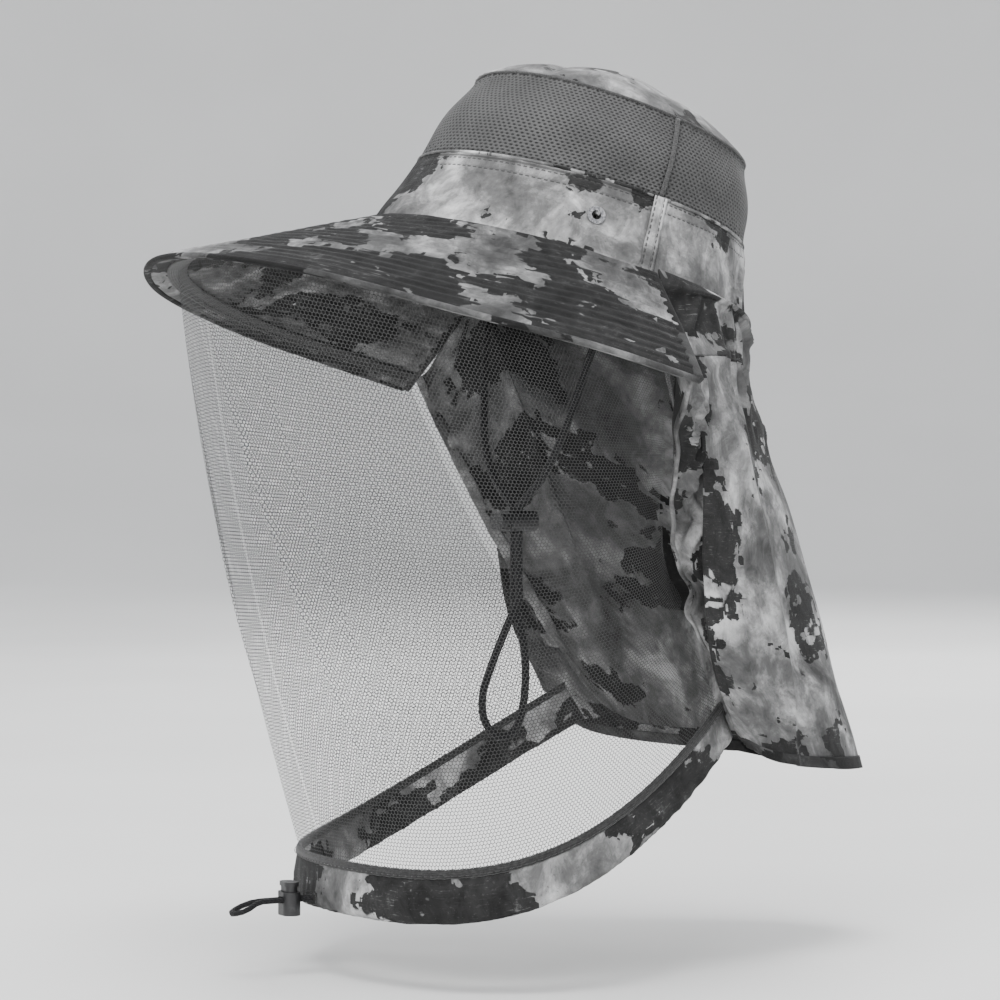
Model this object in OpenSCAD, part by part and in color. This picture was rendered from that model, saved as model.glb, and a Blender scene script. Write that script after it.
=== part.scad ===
// Camouflage sun hat with a face net, a rear panel, a neck cape, a hem drawcord and a chin cord.
// Millimetres. +Z is up as the hat is worn, -Y is the wearer's front, +X the wearer's left.
// The origin is the centre of the head opening, which leans back with the hat.

/* [Crown] */
// Lean of the hat, front up, in degrees
hat_tilt = 16; // [8:1:20]
// Width of the head opening
head_w = 168; // [160:1:176]
// Length of the head opening
head_l = 200; // [192:1:208]
// Height of the side band
band_h = 40; // [34:1:46]
// Height of the mesh panels
mesh_h = 47; // [40:1:52]
// How much lower the top seam is at the back than in front
rear_dip = 7; // [3:1:10]
// Crown width at the mesh panels' lower seam, as a share of the head opening
waist_share = 0.9; // [0.86:0.01:0.95]
// Crown length at the mesh panels' lower seam, as a share of the head opening
waist_long = 0.865; // [0.84:0.005:0.9]
// Crown width at the top seam, as a share of the head opening
top_share = 0.78; // [0.72:0.01:0.84]
// Crown length at the top seam, as a share of the head opening
top_long = 0.71; // [0.68:0.01:0.78]
// How far the top seam's middle sits behind the head opening's
top_back = 8; // [4:1:10]
// Rise of the crown's top piece over its seam
top_rise = 23; // [18:1:26]

/* [Brim] */
// Width of the brim at the front
brim_front = 114; // [105:1:120]
// Width of the brim at the sides
brim_side = 81; // [75:1:86]
// Droop of the brim at the front, in degrees
droop_front = 27; // [20:1:32]
// Droop of the brim at the sides, in degrees
droop_side = 40; // [34:1:44]

/* [Veil] */
// Width of the hem band's ring
hem_w = 200; // [190:1:206]
// Length of the hem band's ring
hem_l = 240; // [230:1:246]
// Height of the hem band
hem_h = 23; // [20:1:28]
// Mean height of the hem band's top edge, below the head opening
hem_drop = 238; // [225:1:250]
// Fall of the hem band from its middle to the front
hem_fall = 61; // [50:1:66]

/* [Cape] */
// Length of the neck cape at the back, measured down
cape_drop = 254; // [240:1:264]
// Reach of the cape's lower edge behind the head opening's centre
cape_reach = 172; // [164:1:180]

/* [Cords] */
// Thickness of the chin cord
chin_d = 4; // [3.4:0.1:4.2]
// Thickness of the hem drawcord
draw_d = 2.6; // [2:0.1:2.8]

/* [Hidden] */
$fn = 48;

camo = "#8f8f8c";
camo_dark = "#4b4b4a";
mesh_grey = "#6a6a6a";
net_grey = "#a9a9a4";
trim_black = "#222222";
metal = "silver";

cloth_t = 1.0;      // thickness of one ply of cloth
seam_gap = 0.2;     // gap between two plies sewn edge to edge
body_gap = 0.4;     // gap between pieces on different bodies
crown_steps = 40;   // facets round the whole crown
brim_end = 92;      // angle from the front at which the brim stops, each side
brim_gap = 1.3;     // distance from the crown's cloth to the brim's inner edge
core_t = 1.6;       // thickness of the brim's foam core
brim_steps = 34;    // facets round the brim
net_at = 0.88;      // share of the brim's width at which the net is sewn on
net_belly = 7;      // how far the net stands out halfway down
panel_turn = 123;   // angle from the front at which the rear panel's foot begins, each side
band_end = 119;     // angle from the front at which the hem band stops, each side
band_slant = 0.04;  // how much further back it stops at its lower edge, as a share of the angle
hem_y = -9;         // centre of the hem ring, from the head opening's centre
hem_egg = 14;       // how much wider the hem ring is in front than behind
channel_r = 2.2;    // radius of the fold that the drawcord runs in

// ---- small vector helpers ----
function mix(a, b, t) = a + (b - a) * t;
function unit(p) = p / norm(p);
function along(list, t) =
    let (s = max(0, min(1, t)) * (len(list) - 1), i = min(floor(s), len(list) - 2))
    mix(list[i], list[i + 1], s - i);
function steps(from, to, n) = [for (i = [0 : n]) mix(from, to, i / n)];

// Turns a point of the level hat into the hat as worn, leaning back about the X axis.
function worn(p) = [p.x,
                    p.y * cos(hat_tilt) + p.z * sin(hat_tilt),
                    -p.y * sin(hat_tilt) + p.z * cos(hat_tilt)];

// ---- surfaces ----
// Crown wall at height h: share of the width, share of the length, and setback of the middle.
function crown_ring(h) =
    let (back = top_back * h / (band_h + mesh_h))
    h < band_h ? [mix(1, waist_share, h / band_h), mix(1, waist_long, h / band_h), back]
               : [mix(waist_share, top_share, (h - band_h) / mesh_h),
                  mix(waist_long, top_long, (h - band_h) / mesh_h), back];
function ring_normal(a) = unit([sin(a) / head_w, -cos(a) / head_l]);

// Crown wall at angle a from the front and height h, pushed out by off.
function crown_at(a, h, off) =
    let (k = crown_ring(h), n = ring_normal(a))
    worn([head_w / 2 * k.x * sin(a) + n.x * off, k.z - head_l / 2 * k.y * cos(a) + n.y * off, h]);

// Mesh panels: t runs from 0 at their lower seam to 1 at the top seam, which dips towards the back.
function mesh_at(a, t) =
    let (front = (1 + cos(a)) / 2)
    crown_at(a, band_h + seam_gap + t * (mesh_h - seam_gap - rear_dip * (1 - front * front)), 0);

// Crown top piece: r runs from 0 at the middle to 1 at the seam. It is puffed up over the seam.
function top_at(a, r) =
    let (middle = mix(crown_at(0, band_h + mesh_h, 0), mesh_at(180, 1), 0.5),
         edge = mesh_at(a, 1) + [0, 0, 1])
    mix([0, middle.y, middle.z], edge, r) + worn([0, 0, top_rise * (1 - pow(r, 2.6))]);

// A step of the given size straight out from the crown at angle a, on the leaning hat.
function ring_push(a, size) = let (n = ring_normal(a)) worn([n.x, n.y, 0]) * size;

// Brim: f runs from 0 at the crown to 1 at the edge, off is measured square to the brim.
function front_part(a) = cos(a) > 0 ? cos(a) * cos(a) : 0;
function brim_at(a, f, off) =
    let (w = front_part(a),
         l = mix(brim_side, brim_front, w),
         d = mix(droop_side, droop_front, w),
         n = ring_normal(a),
         out = brim_gap + l * cos(d) * f + off * sin(d))
    worn([head_w / 2 * sin(a) + n.x * out, -head_l / 2 * cos(a) + n.y * out, -l * sin(d) * f + off * cos(d)]);

// Hem ring in plan, its outward normal, and a point at height dz from its top edge, pushed out by off.
function hem_plan(a) = [hem_w / 2 * sin(a) + hem_egg * sin(2 * a), hem_y - hem_l / 2 * cos(a)];
function hem_normal(a) = let (d = hem_plan(a + 1) - hem_plan(a - 1)) unit([d.y, -d.x]);
function hem_z(a) = -hem_drop - hem_fall * cos(a) + 11 * cos(2 * a) + 3 * cos(3 * a);
function hem_at(a, dz, off) = let (p = hem_plan(a) + hem_normal(a) * off) [p.x, p.y, hem_z(a) + dz];

// How far the net and the rear panel are drawn in and forward where they are sewn together.
function edge_pull(u, v, spread) = [-13 * sign(u), -12, 0] * sin(180 * v) * pow(abs(u), spread);

// Face net: u runs from -1 at its right rear edge to 1 at its left one, v from 0 under the brim down to the
// hem band, with a slight outward belly.
net_top_end = brim_end - 2;
net_foot_end = band_end;
function net_at_point(u, v) =
    let (top = brim_at(net_top_end * u, net_at, -4.3), foot = hem_at(net_foot_end * u, 4.2, 0),
         n = hem_normal(net_foot_end * u) * net_belly * sin(180 * v) * (1 - pow(u, 8)))
    mix(top, foot, v) + [n.x, n.y, 0] + edge_pull(u, v, 8);

// Rear panel: u runs from -1 at the right front edge to 1 at the left one, v from 0 at the top down.
// Its top follows the brim's ends and the crown; its foot follows the hem ring round the nape.
seam_share = 0.3;      // share of each half that runs under the brim's end
function panel_top(u) =
    let (s = abs(u), side = sign(u),
         k = (s - 1 + seam_share) / seam_share,
         p = k > 0 ? brim_at(brim_end, net_at * k, -4.4) + [0, 2 * k, 0]
                   : crown_at(180 - (180 - brim_end) * s / (1 - seam_share), -3, 0))
    [p.x * (side < 0 ? -1 : 1), p.y, p.z];
nape_z = -232;         // lowest point of the rear panel's foot
function panel_foot(u) =
    let (a = 180 - (180 - panel_turn) * u, p = hem_plan(a))
    [p.x, p.y, mix(nape_z, hem_z(panel_turn), pow(abs(u), 8))];
function panel_at(u, v) =
    mix(panel_top(u), panel_foot(u), v) + edge_pull(u, v, 4);
panel_us = [for (k = [-15 : 15]) sin(6 * k)];

// Neck cape: u as above, v from 0 at the crown down to the hem.
cape_side = [[88, 8, -8], [97, 17, -46], [102, 20, -88], [101, 22, -136], [96, 30, -184], [88, 52, -232]];
cape_back = [[0, 100, -33], [0, 102, -57], [0, 116, -99], [0, 135, -146], [0, 154, -196]];
cape_corner = 16;      // how much the foot rises at the cape's front corners
collar_share = 0.16;   // share of the cape's length that is the gathered collar
function cape_at(u, v) =
    let (s = along(cape_side, v),
         b = along(concat(cape_back, [[0, cape_reach, -cape_drop]]), v),
         lift = cape_corner * pow(abs(u), 6) * pow(v, 4),
         c = cos(90 * u),
         flat = 0.45 * min(1, 5 * v))
    [s.x * sin(90 * u), mix(s.y, b.y, c * mix(1, c, flat)),
     mix(b.z, s.z - 10 * v, pow(abs(sin(90 * u)), 1.5)) + lift];

// ---- solids ----
// A closed sheet of thickness t about the surface f(u, v), on the grid us by vs.
// wrap joins the last u to the first. cap closes the first v row to one point.
module cloth(f, us, vs, t, wrap = false, cap = false) {
    nu = len(us);
    nv = len(vs);
    e = 0.002;
    function normal(u, v) =
        let (du = f(u + e * (us[nu - 1] - us[0]), v) - f(u - e * (us[nu - 1] - us[0]), v),
             dv = f(u, v + e * (vs[nv - 1] - vs[0])) - f(u, v - e * (vs[nv - 1] - vs[0])))
        unit(cross(du, dv));
    side_points = [for (side = [1, -1]) for (v = vs) for (u = us) f(u, v) + normal(u, v) * side * t / 2];
    tip = f(us[0], 0);
    tip_points = cap ? [tip + [0, 0, t / 2], tip - [0, 0, t / 2]] : [];
    block = nu * nv;
    last_u = wrap ? nu - 1 : nu - 2;
    function id(side, i, j) = side * block + j * nu + i % nu;
    face_sides = [
        for (i = [0 : last_u]) for (j = [0 : nv - 2]) each [
            [id(0, i, j), id(0, i, j + 1), id(0, i + 1, j + 1)],
            [id(0, i, j), id(0, i + 1, j + 1), id(0, i + 1, j)],
            [id(1, i, j), id(1, i + 1, j + 1), id(1, i, j + 1)],
            [id(1, i, j), id(1, i + 1, j), id(1, i + 1, j + 1)]]];
    foot_edge = [
        for (i = [0 : last_u]) each [
            [id(0, i, nv - 1), id(1, i, nv - 1), id(1, i + 1, nv - 1)],
            [id(0, i, nv - 1), id(1, i + 1, nv - 1), id(0, i + 1, nv - 1)]]];
    head_edge = [
        for (i = [0 : last_u]) each (cap
            ? [[id(0, i, 0), id(0, i + 1, 0), 2 * block], [id(1, i + 1, 0), id(1, i, 0), 2 * block + 1]]
            : [[id(0, i, 0), id(1, i + 1, 0), id(1, i, 0)],
               [id(0, i, 0), id(0, i + 1, 0), id(1, i + 1, 0)]])];
    end_edges = wrap ? [] : [
        for (j = [0 : nv - 2]) each [
            [id(0, 0, j), id(1, 0, j), id(1, 0, j + 1)],
            [id(0, 0, j), id(1, 0, j + 1), id(0, 0, j + 1)],
            [id(0, nu - 1, j), id(1, nu - 1, j + 1), id(1, nu - 1, j)],
            [id(0, nu - 1, j), id(0, nu - 1, j + 1), id(1, nu - 1, j + 1)]]];
    polyhedron(concat(side_points, tip_points), concat(face_sides, foot_edge, head_edge, end_edges));
}

// A closed tube of diameter d along the points of a route.
module tube(route, d, sides = 8) {
    n = len(route);
    function heading(i) = unit(route[min(i + 1, n - 1)] - route[max(i - 1, 0)]);
    function square_to(h, was) = unit(was - h * (was * h));
    frames = [for (i = 0, h = heading(0), x = square_to(h, abs(h.x) < 0.9 ? [1, 0, 0] : [0, 1, 0]); i < n;
                   i = i + 1, h = i < n ? heading(i) : h, x = square_to(h, x)) [x, cross(h, x)]];
    points = [for (i = [0 : n - 1]) for (k = [0 : sides - 1]) let (turn = 360 * k / sides)
        route[i] + (frames[i][0] * cos(turn) + frames[i][1] * sin(turn)) * d / 2];
    walls = [for (i = [0 : n - 2]) for (k = [0 : sides - 1])
        let (a = i * sides + k, b = i * sides + (k + 1) % sides)
        each [[a, a + sides, b + sides], [a, b + sides, b]]];
    ends = [[for (k = [0 : sides - 1]) k], [for (k = [sides - 1 : -1 : 0]) (n - 1) * sides + k]];
    polyhedron(points, concat(walls, ends));
}

// Catmull-Rom curve through hand-placed points, n pieces between neighbours.
function curve(p, n) = [
    for (i = [0 : len(p) - 2]) for (k = [0 : n - 1])
        let (t = k / n, a = p[max(i - 1, 0)], b = p[i], c = p[i + 1], d = p[min(i + 2, len(p) - 1)])
        0.5 * (2 * b + (c - a) * t + (2 * a - 5 * b + 4 * c - d) * t * t
               + (3 * b - a - 3 * c + d) * t * t * t),
    p[len(p) - 1]];

module stadium(length, width, height) {
    linear_extrude(height, center = true) union() {
        square([length - width, width], center = true);
        translate([(length - width) / 2, 0]) circle(d = width);
        translate([-(length - width) / 2, 0]) circle(d = width);
    }
}

module spring(d, length, wire, turns) {
    coil = [for (k = [0 : turns * 10]) [d / 2 * cos(36 * k), d / 2 * sin(36 * k), length * k / (turns * 10)]];
    tube(coil, wire, 6);
}

// ---- crown ----
whole_turn = [for (i = [0 : crown_steps - 1]) 360 * i / crown_steps];

module crown_top() {
    color(camo) cloth(function(a, r) top_at(a, r), whole_turn, [0.25, 0.5, 0.75, 0.9, 1], cloth_t,
                      wrap = true, cap = true);
}

// Part of the crown's wall, from one angle to another and from one height to another.
module crown_wall(from, to, low, high, rows) {
    cloth(function(a, h) crown_at(a, h, 0), steps(from, to, round(crown_steps * (to - from) / 360)),
          steps(low, high, rows), cloth_t);
}

side_seam = 90;        // angle of the crown's side seams
seam_turn = 0.15;      // half the gap at a side seam, in degrees
module mesh_panel(from, to) {
    color(mesh_grey) cloth(function(a, t) mesh_at(a, t), steps(from, to, crown_steps / 2), steps(0, 1, 3),
                           cloth_t);
}

module crown_mesh_front() {
    mesh_panel(-side_seam + seam_turn, side_seam - seam_turn);
}

module crown_mesh_rear() {
    mesh_panel(side_seam + seam_turn, 360 - side_seam - seam_turn);
}

eyelet_angle = 71;     // place of the side eyelets, from the front
eyelet_h = 20;         // and their height on the side band
eyelet_bore = 4.8;     // hole through an eyelet
eyelet_d = 9;          // outer diameter of its flange
module at_eyelets() {
    wall_lean = atan((1 - waist_share) * head_w / 2 / band_h);
    for (side = [-1, 1]) {
        p = crown_at(eyelet_angle * side, eyelet_h, 0);
        n = ring_normal(eyelet_angle * side);
        translate(p) rotate([-hat_tilt, 0, 0]) rotate([0, 90 - wall_lean, atan2(n.y, n.x)]) children();
    }
}

module crown_band_front() {
    color(camo) difference() {
        crown_wall(-side_seam + seam_turn, side_seam - seam_turn, 0, band_h - seam_gap, 3);
        at_eyelets() cylinder(d = eyelet_bore + 1.6, h = 12, center = true);
    }
}

module crown_band_rear() {
    color(camo) crown_wall(side_seam + seam_turn, 360 - side_seam - seam_turn, 0, band_h - seam_gap, 3);
}

module crown_top_tape() {
    color(trim_black) cloth(function(a, t) mesh_at(a, t) - ring_push(a, 1.2), whole_turn, [0.78, 0.96], 0.8,
                            wrap = true);
}

seam_tape_turn = 3;    // half the width of a side seam tape, in degrees
module side_seam_tapes() {
    for (a = [side_seam, -side_seam])
        color(camo) cloth(function(u, h) crown_at(u, h, 1.1),
                          steps(a - seam_tape_turn, a + seam_tape_turn, 2), steps(3, band_h - 1, 2), 0.8);
}

module side_eyelets() {
    color(metal) at_eyelets() difference() {
        union() {
            translate([0, 0, 1.05]) cylinder(d = eyelet_d, h = 0.8);
            translate([0, 0, -1.2]) cylinder(d = eyelet_bore + 1, h = 2.6);
        }
        cylinder(d = eyelet_bore, h = 12, center = true);
    }
}

module eyelet_washers() {
    color(metal) at_eyelets() translate([0, 0, -1.95]) difference() {
        cylinder(d = eyelet_d, h = 0.7);
        cylinder(d = eyelet_bore, h = 4, center = true);
    }
}

sweat_h = 32;          // height of the sweatband
sweat_off = -3.9;      // its place inside the crown
module sweatband() {
    color(trim_black) difference() {
        cloth(function(a, h) crown_at(a, h, sweat_off), whole_turn, steps(0.5, sweat_h, 2), cloth_t,
              wrap = true);
        at_eyelets() translate([0, 0, -4]) cylinder(d = eyelet_bore + 1.2, h = 6, center = true);
    }
}

module rear_elastic() {
    color("#dddddd") cloth(function(a, h) crown_at(a, h, -2), steps(140, 220, 10), [6, 20], 0.9);
}

tab_angle = 88;        // place of the chin cord tabs
module cord_tabs() {
    for (side = [-1, 1]) {
        p = crown_at(tab_angle * side, -1, -7);
        color(trim_black) translate(p) rotate([-hat_tilt, 0, 0]) cube([1.6, 11, 12], center = true);
    }
}

// ---- brim ----
module brim_ply(off, t) {
    cloth(function(a, f) brim_at(a, f, off), steps(-brim_end, brim_end, brim_steps), steps(0, 1, 4), t);
}

module brim_upper() {
    color(camo) brim_ply((core_t + cloth_t) / 2 + 0.1, cloth_t);
}

module brim_stiffener() {
    color("white") brim_ply(0, core_t);
}

module brim_lower() {
    color(camo) brim_ply(-(core_t + cloth_t) / 2 - 0.1, cloth_t);
}

binding_w = 4;         // width of the bound brim edge
module brim_binding() {
    f_in = 1 + 0.3 / brim_side;
    f_out = f_in + binding_w / brim_side;
    color(camo) cloth(function(a, f) brim_at(a, f, 0), steps(-brim_end, brim_end, brim_steps),
                      [f_in, f_out], 4.4);
}

// ---- veil ----
module veil_tape() {
    color(trim_black) cloth(function(a, f) brim_at(a, f, -2.5),
                            steps(-brim_end + 1, brim_end - 1, brim_steps),
                            [net_at - 0.05, net_at + 0.05], 0.8);
}

module face_net() {
    color(net_grey, 0.5) cloth(function(u, v) net_at_point(u, v), steps(-1, 1, 36), steps(0, 1, 6), 0.8);
}

module rear_panel() {
    color(camo_dark) cloth(function(u, v) panel_at(u, v), panel_us, steps(0, 1, 6), cloth_t);
}

module panel_bindings() {
    for (side = [-1, 1])
        color(camo) tube([for (v = steps(0.01, 0.85, 12)) panel_at(side, v) + [2.2 * side, -2.2, 0]], 3.4, 8);
}

channel = [for (p = [[0, 0], [0, -10], [0, -hem_h + channel_r], [0.6, -hem_h + 0.5], [channel_r, -hem_h],
                     [2 * channel_r - 0.6, -hem_h + 0.5], [2 * channel_r, -hem_h + channel_r],
                     [2 * channel_r, -10], [2 * channel_r, 0]])
              [channel_r - p[0], p[1]]];
exit_x = -12;          // place of the drawcord's buttonhole, on the wearer's right of the middle
exit_gap = 3.4;        // distance between the two runs of the drawcord at the lock
draw_z = -hem_h + 4.2; // height of the drawcord below the band's top edge
exit_turn = exit_x / (hem_w / 2 + 2 * hem_egg) * 180 / PI;
exit_y = hem_plan(exit_turn).y;
exit_z = hem_z(exit_turn) + draw_z;
hole_w = 14;           // width of the buttonhole
hole_h = 5;            // and its height
module at_buttonhole() {
    translate([exit_x, exit_y - channel_r, exit_z]) rotate([90, 0, exit_turn]) children();
}

module hem_band() {
    color(camo) difference() {
        cloth(function(a, s) let (p = along(channel, s)) hem_at(a * (1 - band_slant * p.y / hem_h), p.y, p.x),
              steps(-band_end, band_end, 36), steps(0, 1, 8), 0.9);
        at_buttonhole() stadium(hole_w, hole_h, 3);
    }
}

module hem_binding() {
    color(trim_black) cloth(function(a, z) hem_at(a, z, 0), steps(-band_end, band_end, 36), [0.4, 3.4],
                            2 * channel_r + 2);
}

module buttonhole_stitching() {
    color(trim_black) at_buttonhole() translate([0, 0, 0.95]) difference() {
        stadium(hole_w + 3, hole_h + 3, 0.6);
        stadium(hole_w, hole_h, 2);
    }
}

// Hem drawcord: round the channel, out through the buttonhole, and a loop in front of the lock.
exit_bend = 5.2;       // radius of the drawcord's turn at the buttonhole
tail = [[exit_gap / 2, -158, 0], [3, -162, -0.6], [5, -166.5, -2.4], [4.6, -170, -3.8], [2.6, -172.6, -4.6],
        [0, -173.4, -5], [-2.6, -172.6, -4.6], [-4.6, -170, -3.8], [-5, -166.5, -2.4], [-3, -162, -0.6],
        [-exit_gap / 2, -158, 0]];
module hem_drawcord() {
    start_turn = 12;
    left_run = [for (a = steps(band_end - 3, start_turn / 4, 22)) hem_at(a, draw_z, 0)];
    right_run = [for (a = steps(-start_turn, -band_end + 3, 20)) hem_at(a, draw_z, 0)];
    bend = [for (t = [10, 35, 60, 85])
        [exit_gap / 2 + exit_bend * (1 - sin(t)), exit_y - exit_bend * (1 - cos(t))]];
    left_bend = [for (p = bend) [exit_x + p.x, p.y, exit_z]];
    right_bend = [for (i = [len(bend) - 1 : -1 : 0]) [exit_x - bend[i].x, bend[i].y, exit_z]];
    loop = [for (p = tail) [exit_x + p.x, p.y, exit_z + p.z]];
    color(trim_black) tube(concat(left_run, left_bend, loop, right_bend, right_run), draw_d, 8);
}

hem_lock_y = -143;     // place of the hem lock on the drawcord
hem_travel = 2.2;      // travel of its button
draw_slot = exit_gap + draw_d + 0.8;
module at_hem_lock() {
    translate([exit_x, hem_lock_y, exit_z]) children();
}

module hem_lock_body() {
    color(trim_black) at_hem_lock() difference() {
        translate([0, 0, -1.7]) stadium(13.4, 9, 11.4);
        translate([0, 0, 3.6]) stadium(11, 6.6, 20);
        rotate([90, 0, 0]) stadium(draw_slot, draw_d + 0.6, 20);
    }
}

module hem_lock_button() {
    color(trim_black) at_hem_lock() difference() {
        union() {
            translate([0, 0, 2.1]) stadium(10.6, 6.2, 9.8);
            translate([0, 0, 7.8]) stadium(12, 7.4, 2);
        }
        translate([0, 0, hem_travel / 2]) cube([draw_slot, 20, draw_d + 0.6 + hem_travel], center = true);
    }
}

module hem_lock_spring() {
    color(metal) at_hem_lock() translate([0, 0, -6.1]) spring(3.4, 3, 0.4, 3);
}

// ---- cape ----
module cape_collar() {
    color(camo) cloth(function(u, v) cape_at(u, v), steps(-1, 1, 24), steps(0, collar_share - 0.004, 2),
                      cloth_t);
}

module neck_cape() {
    color(camo) cloth(function(u, v) cape_at(u, v), steps(-1, 1, 24), steps(collar_share, 0.965, 8), cloth_t);
}

module cape_hem() {
    color(camo_dark) cloth(function(u, v) cape_at(u, v), steps(-1, 1, 24), [0.972, 1], 2.4);
}

// ---- chin cord ----
chin_y = -23;          // the chin lock's place
chin_z = -121;
run_x = 2.4;           // half the distance between the two runs of the cord in the lock
chin_upper = [[76, 2, -9], [70, 0, -13], [62, -5, -20], [56, -9, -30], [51, -13, -46], [46, -16, -62],
              [38, -20, -82], [26, -22, -98], [12, -23, -108]];
chin_straight = [-115, -128, -141, -152];
// The loop below the lock, as distance to the front and height: first its front half, then its rear half.
loop_front = [[0, -160], [-5, -172], [-12, -190], [-17, -206], [-17, -218], [-13, -226]];
loop_rear = [[-7, -229], [-1, -226], [3, -217], [5, -204], [5, -188], [2, -170], [0, -160]];
loop_turn = 60;        // the loop hangs turned away from straight ahead, in degrees
module chin_cord() {
    loop = [for (i = [0 : len(loop_front) + len(loop_rear) - 1])
        let (p = i < len(loop_front) ? loop_front[i] : loop_rear[i - len(loop_front)],
             side = mix(run_x, -run_x, i / (len(loop_front) + len(loop_rear) - 1)))
        [side + p.x * cos(loop_turn), chin_y + p.x * sin(loop_turn), p.y]];
    down = concat(chin_upper, [for (z = chin_straight) [run_x, chin_y, z]]);
    up = [for (i = [len(down) - 1 : -1 : 0]) [-down[i].x, down[i].y, down[i].z]];
    color(trim_black) tube(curve(concat(down, loop, up), 2), chin_d, 8);
}

chin_slot = 2 * run_x + chin_d + 0.8;
chin_travel = 3;       // travel of the chin lock's button
module at_chin_lock() {
    translate([0, chin_y, chin_z]) rotate([90, 0, 0]) children();
}

module chin_lock_body() {
    color(trim_black) at_chin_lock() difference() {
        translate([0, 0, -1.2]) stadium(15.4, 10.5, 15);
        translate([0, 0, 2.3]) stadium(13, 7.2, 20);
        rotate([90, 0, 0]) stadium(chin_slot, chin_d + 0.6, 20);
    }
}

module chin_lock_button() {
    color(trim_black) at_chin_lock() difference() {
        union() {
            translate([0, 0, 3.1]) stadium(12.6, 6.8, 13);
            translate([0, 0, 10.4]) stadium(14.2, 8.2, 2);
        }
        translate([0, 0, chin_travel / 2]) cube([chin_slot, 20, chin_d + 0.6 + chin_travel], center = true);
    }
}

module chin_lock_spring() {
    color(metal) at_chin_lock() translate([0, 0, -7.4]) spring(4, 3.8, 0.5, 3);
}

crown_top();
crown_mesh_front();
crown_mesh_rear();
crown_band_front();
crown_band_rear();
crown_top_tape();
side_seam_tapes();
side_eyelets();
eyelet_washers();
sweatband();
rear_elastic();
brim_upper();
brim_stiffener();
brim_lower();
brim_binding();
cord_tabs();
veil_tape();
face_net();
rear_panel();
panel_bindings();
hem_band();
hem_binding();
buttonhole_stitching();
hem_drawcord();
hem_lock_body();
hem_lock_button();
hem_lock_spring();
cape_collar();
neck_cape();
cape_hem();
chin_cord();
chin_lock_body();
chin_lock_button();
chin_lock_spring();
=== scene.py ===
import math

import bmesh
import bpy
import numpy as np
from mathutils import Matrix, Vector, noise


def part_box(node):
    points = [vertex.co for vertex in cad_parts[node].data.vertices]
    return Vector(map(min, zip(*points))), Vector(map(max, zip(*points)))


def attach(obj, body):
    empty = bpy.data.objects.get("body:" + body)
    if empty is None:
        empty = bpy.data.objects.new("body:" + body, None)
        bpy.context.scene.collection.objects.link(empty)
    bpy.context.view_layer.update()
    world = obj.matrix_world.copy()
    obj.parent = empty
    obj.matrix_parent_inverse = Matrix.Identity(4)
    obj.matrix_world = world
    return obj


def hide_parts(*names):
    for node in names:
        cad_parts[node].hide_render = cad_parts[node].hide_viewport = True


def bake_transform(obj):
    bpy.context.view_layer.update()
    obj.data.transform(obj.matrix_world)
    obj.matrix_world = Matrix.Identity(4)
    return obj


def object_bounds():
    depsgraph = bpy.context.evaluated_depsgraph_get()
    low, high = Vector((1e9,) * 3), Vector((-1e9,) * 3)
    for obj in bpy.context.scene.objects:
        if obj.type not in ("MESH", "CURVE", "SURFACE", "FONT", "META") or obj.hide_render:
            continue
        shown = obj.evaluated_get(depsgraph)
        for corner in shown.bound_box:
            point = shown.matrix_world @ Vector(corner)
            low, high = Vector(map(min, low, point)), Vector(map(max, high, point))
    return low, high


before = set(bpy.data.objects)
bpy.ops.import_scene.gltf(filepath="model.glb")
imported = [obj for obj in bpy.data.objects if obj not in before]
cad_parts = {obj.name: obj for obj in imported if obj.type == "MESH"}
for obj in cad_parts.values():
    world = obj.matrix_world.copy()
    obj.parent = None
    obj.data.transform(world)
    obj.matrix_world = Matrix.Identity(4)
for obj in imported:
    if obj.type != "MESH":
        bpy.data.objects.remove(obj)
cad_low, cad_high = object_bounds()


# ---- Camera ----
# A long lens a little below the brim's height, on the wearer's left and ahead of them, so that the whole
# hat, net and cape are in view.
CAMERA_PLACE = Vector((1.472, -0.850, -0.075))
CAMERA_DIRECTION = Vector((-0.874, 0.4855, -0.021))
camera = bpy.data.objects.new("camera", bpy.data.cameras.new("camera"))
bpy.context.scene.collection.objects.link(camera)
camera.location = CAMERA_PLACE
camera.rotation_mode = "QUATERNION"
camera.rotation_quaternion = CAMERA_DIRECTION.to_track_quat("-Z", "Y")
camera.data.lens, camera.data.sensor_width = 121.7, 36
camera.data.clip_start, camera.data.clip_end = 0.05, 50
bpy.context.scene.camera = camera


# ---- Chin cord ----
# A round black lace, braided from polyester, about 4 mm thick. Both ends are sewn into tabs inside the
# crown, the two strands pass through the cord lock, and the loop left over hangs under it.
MM = 0.001


def unit(v):
    return v / np.maximum(np.linalg.norm(v, axis=-1, keepdims=True), 1e-9)


def curve(points, pieces):
    """Points of a smooth curve through given ones."""
    p, out = [np.array(q, float) for q in points], []
    for i in range(len(p) - 1):
        a, b, c, d = p[max(i - 1, 0)], p[i], p[i + 1], p[min(i + 2, len(p) - 1)]
        for t in np.arange(pieces) / pieces:
            out.append(0.5 * (2 * b + (c - a) * t + (2 * a - 5 * b + 4 * c - d) * t * t
                              + (3 * b - a - 3 * c + d) * t ** 3))
    return np.array(out + [p[-1]])


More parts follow.
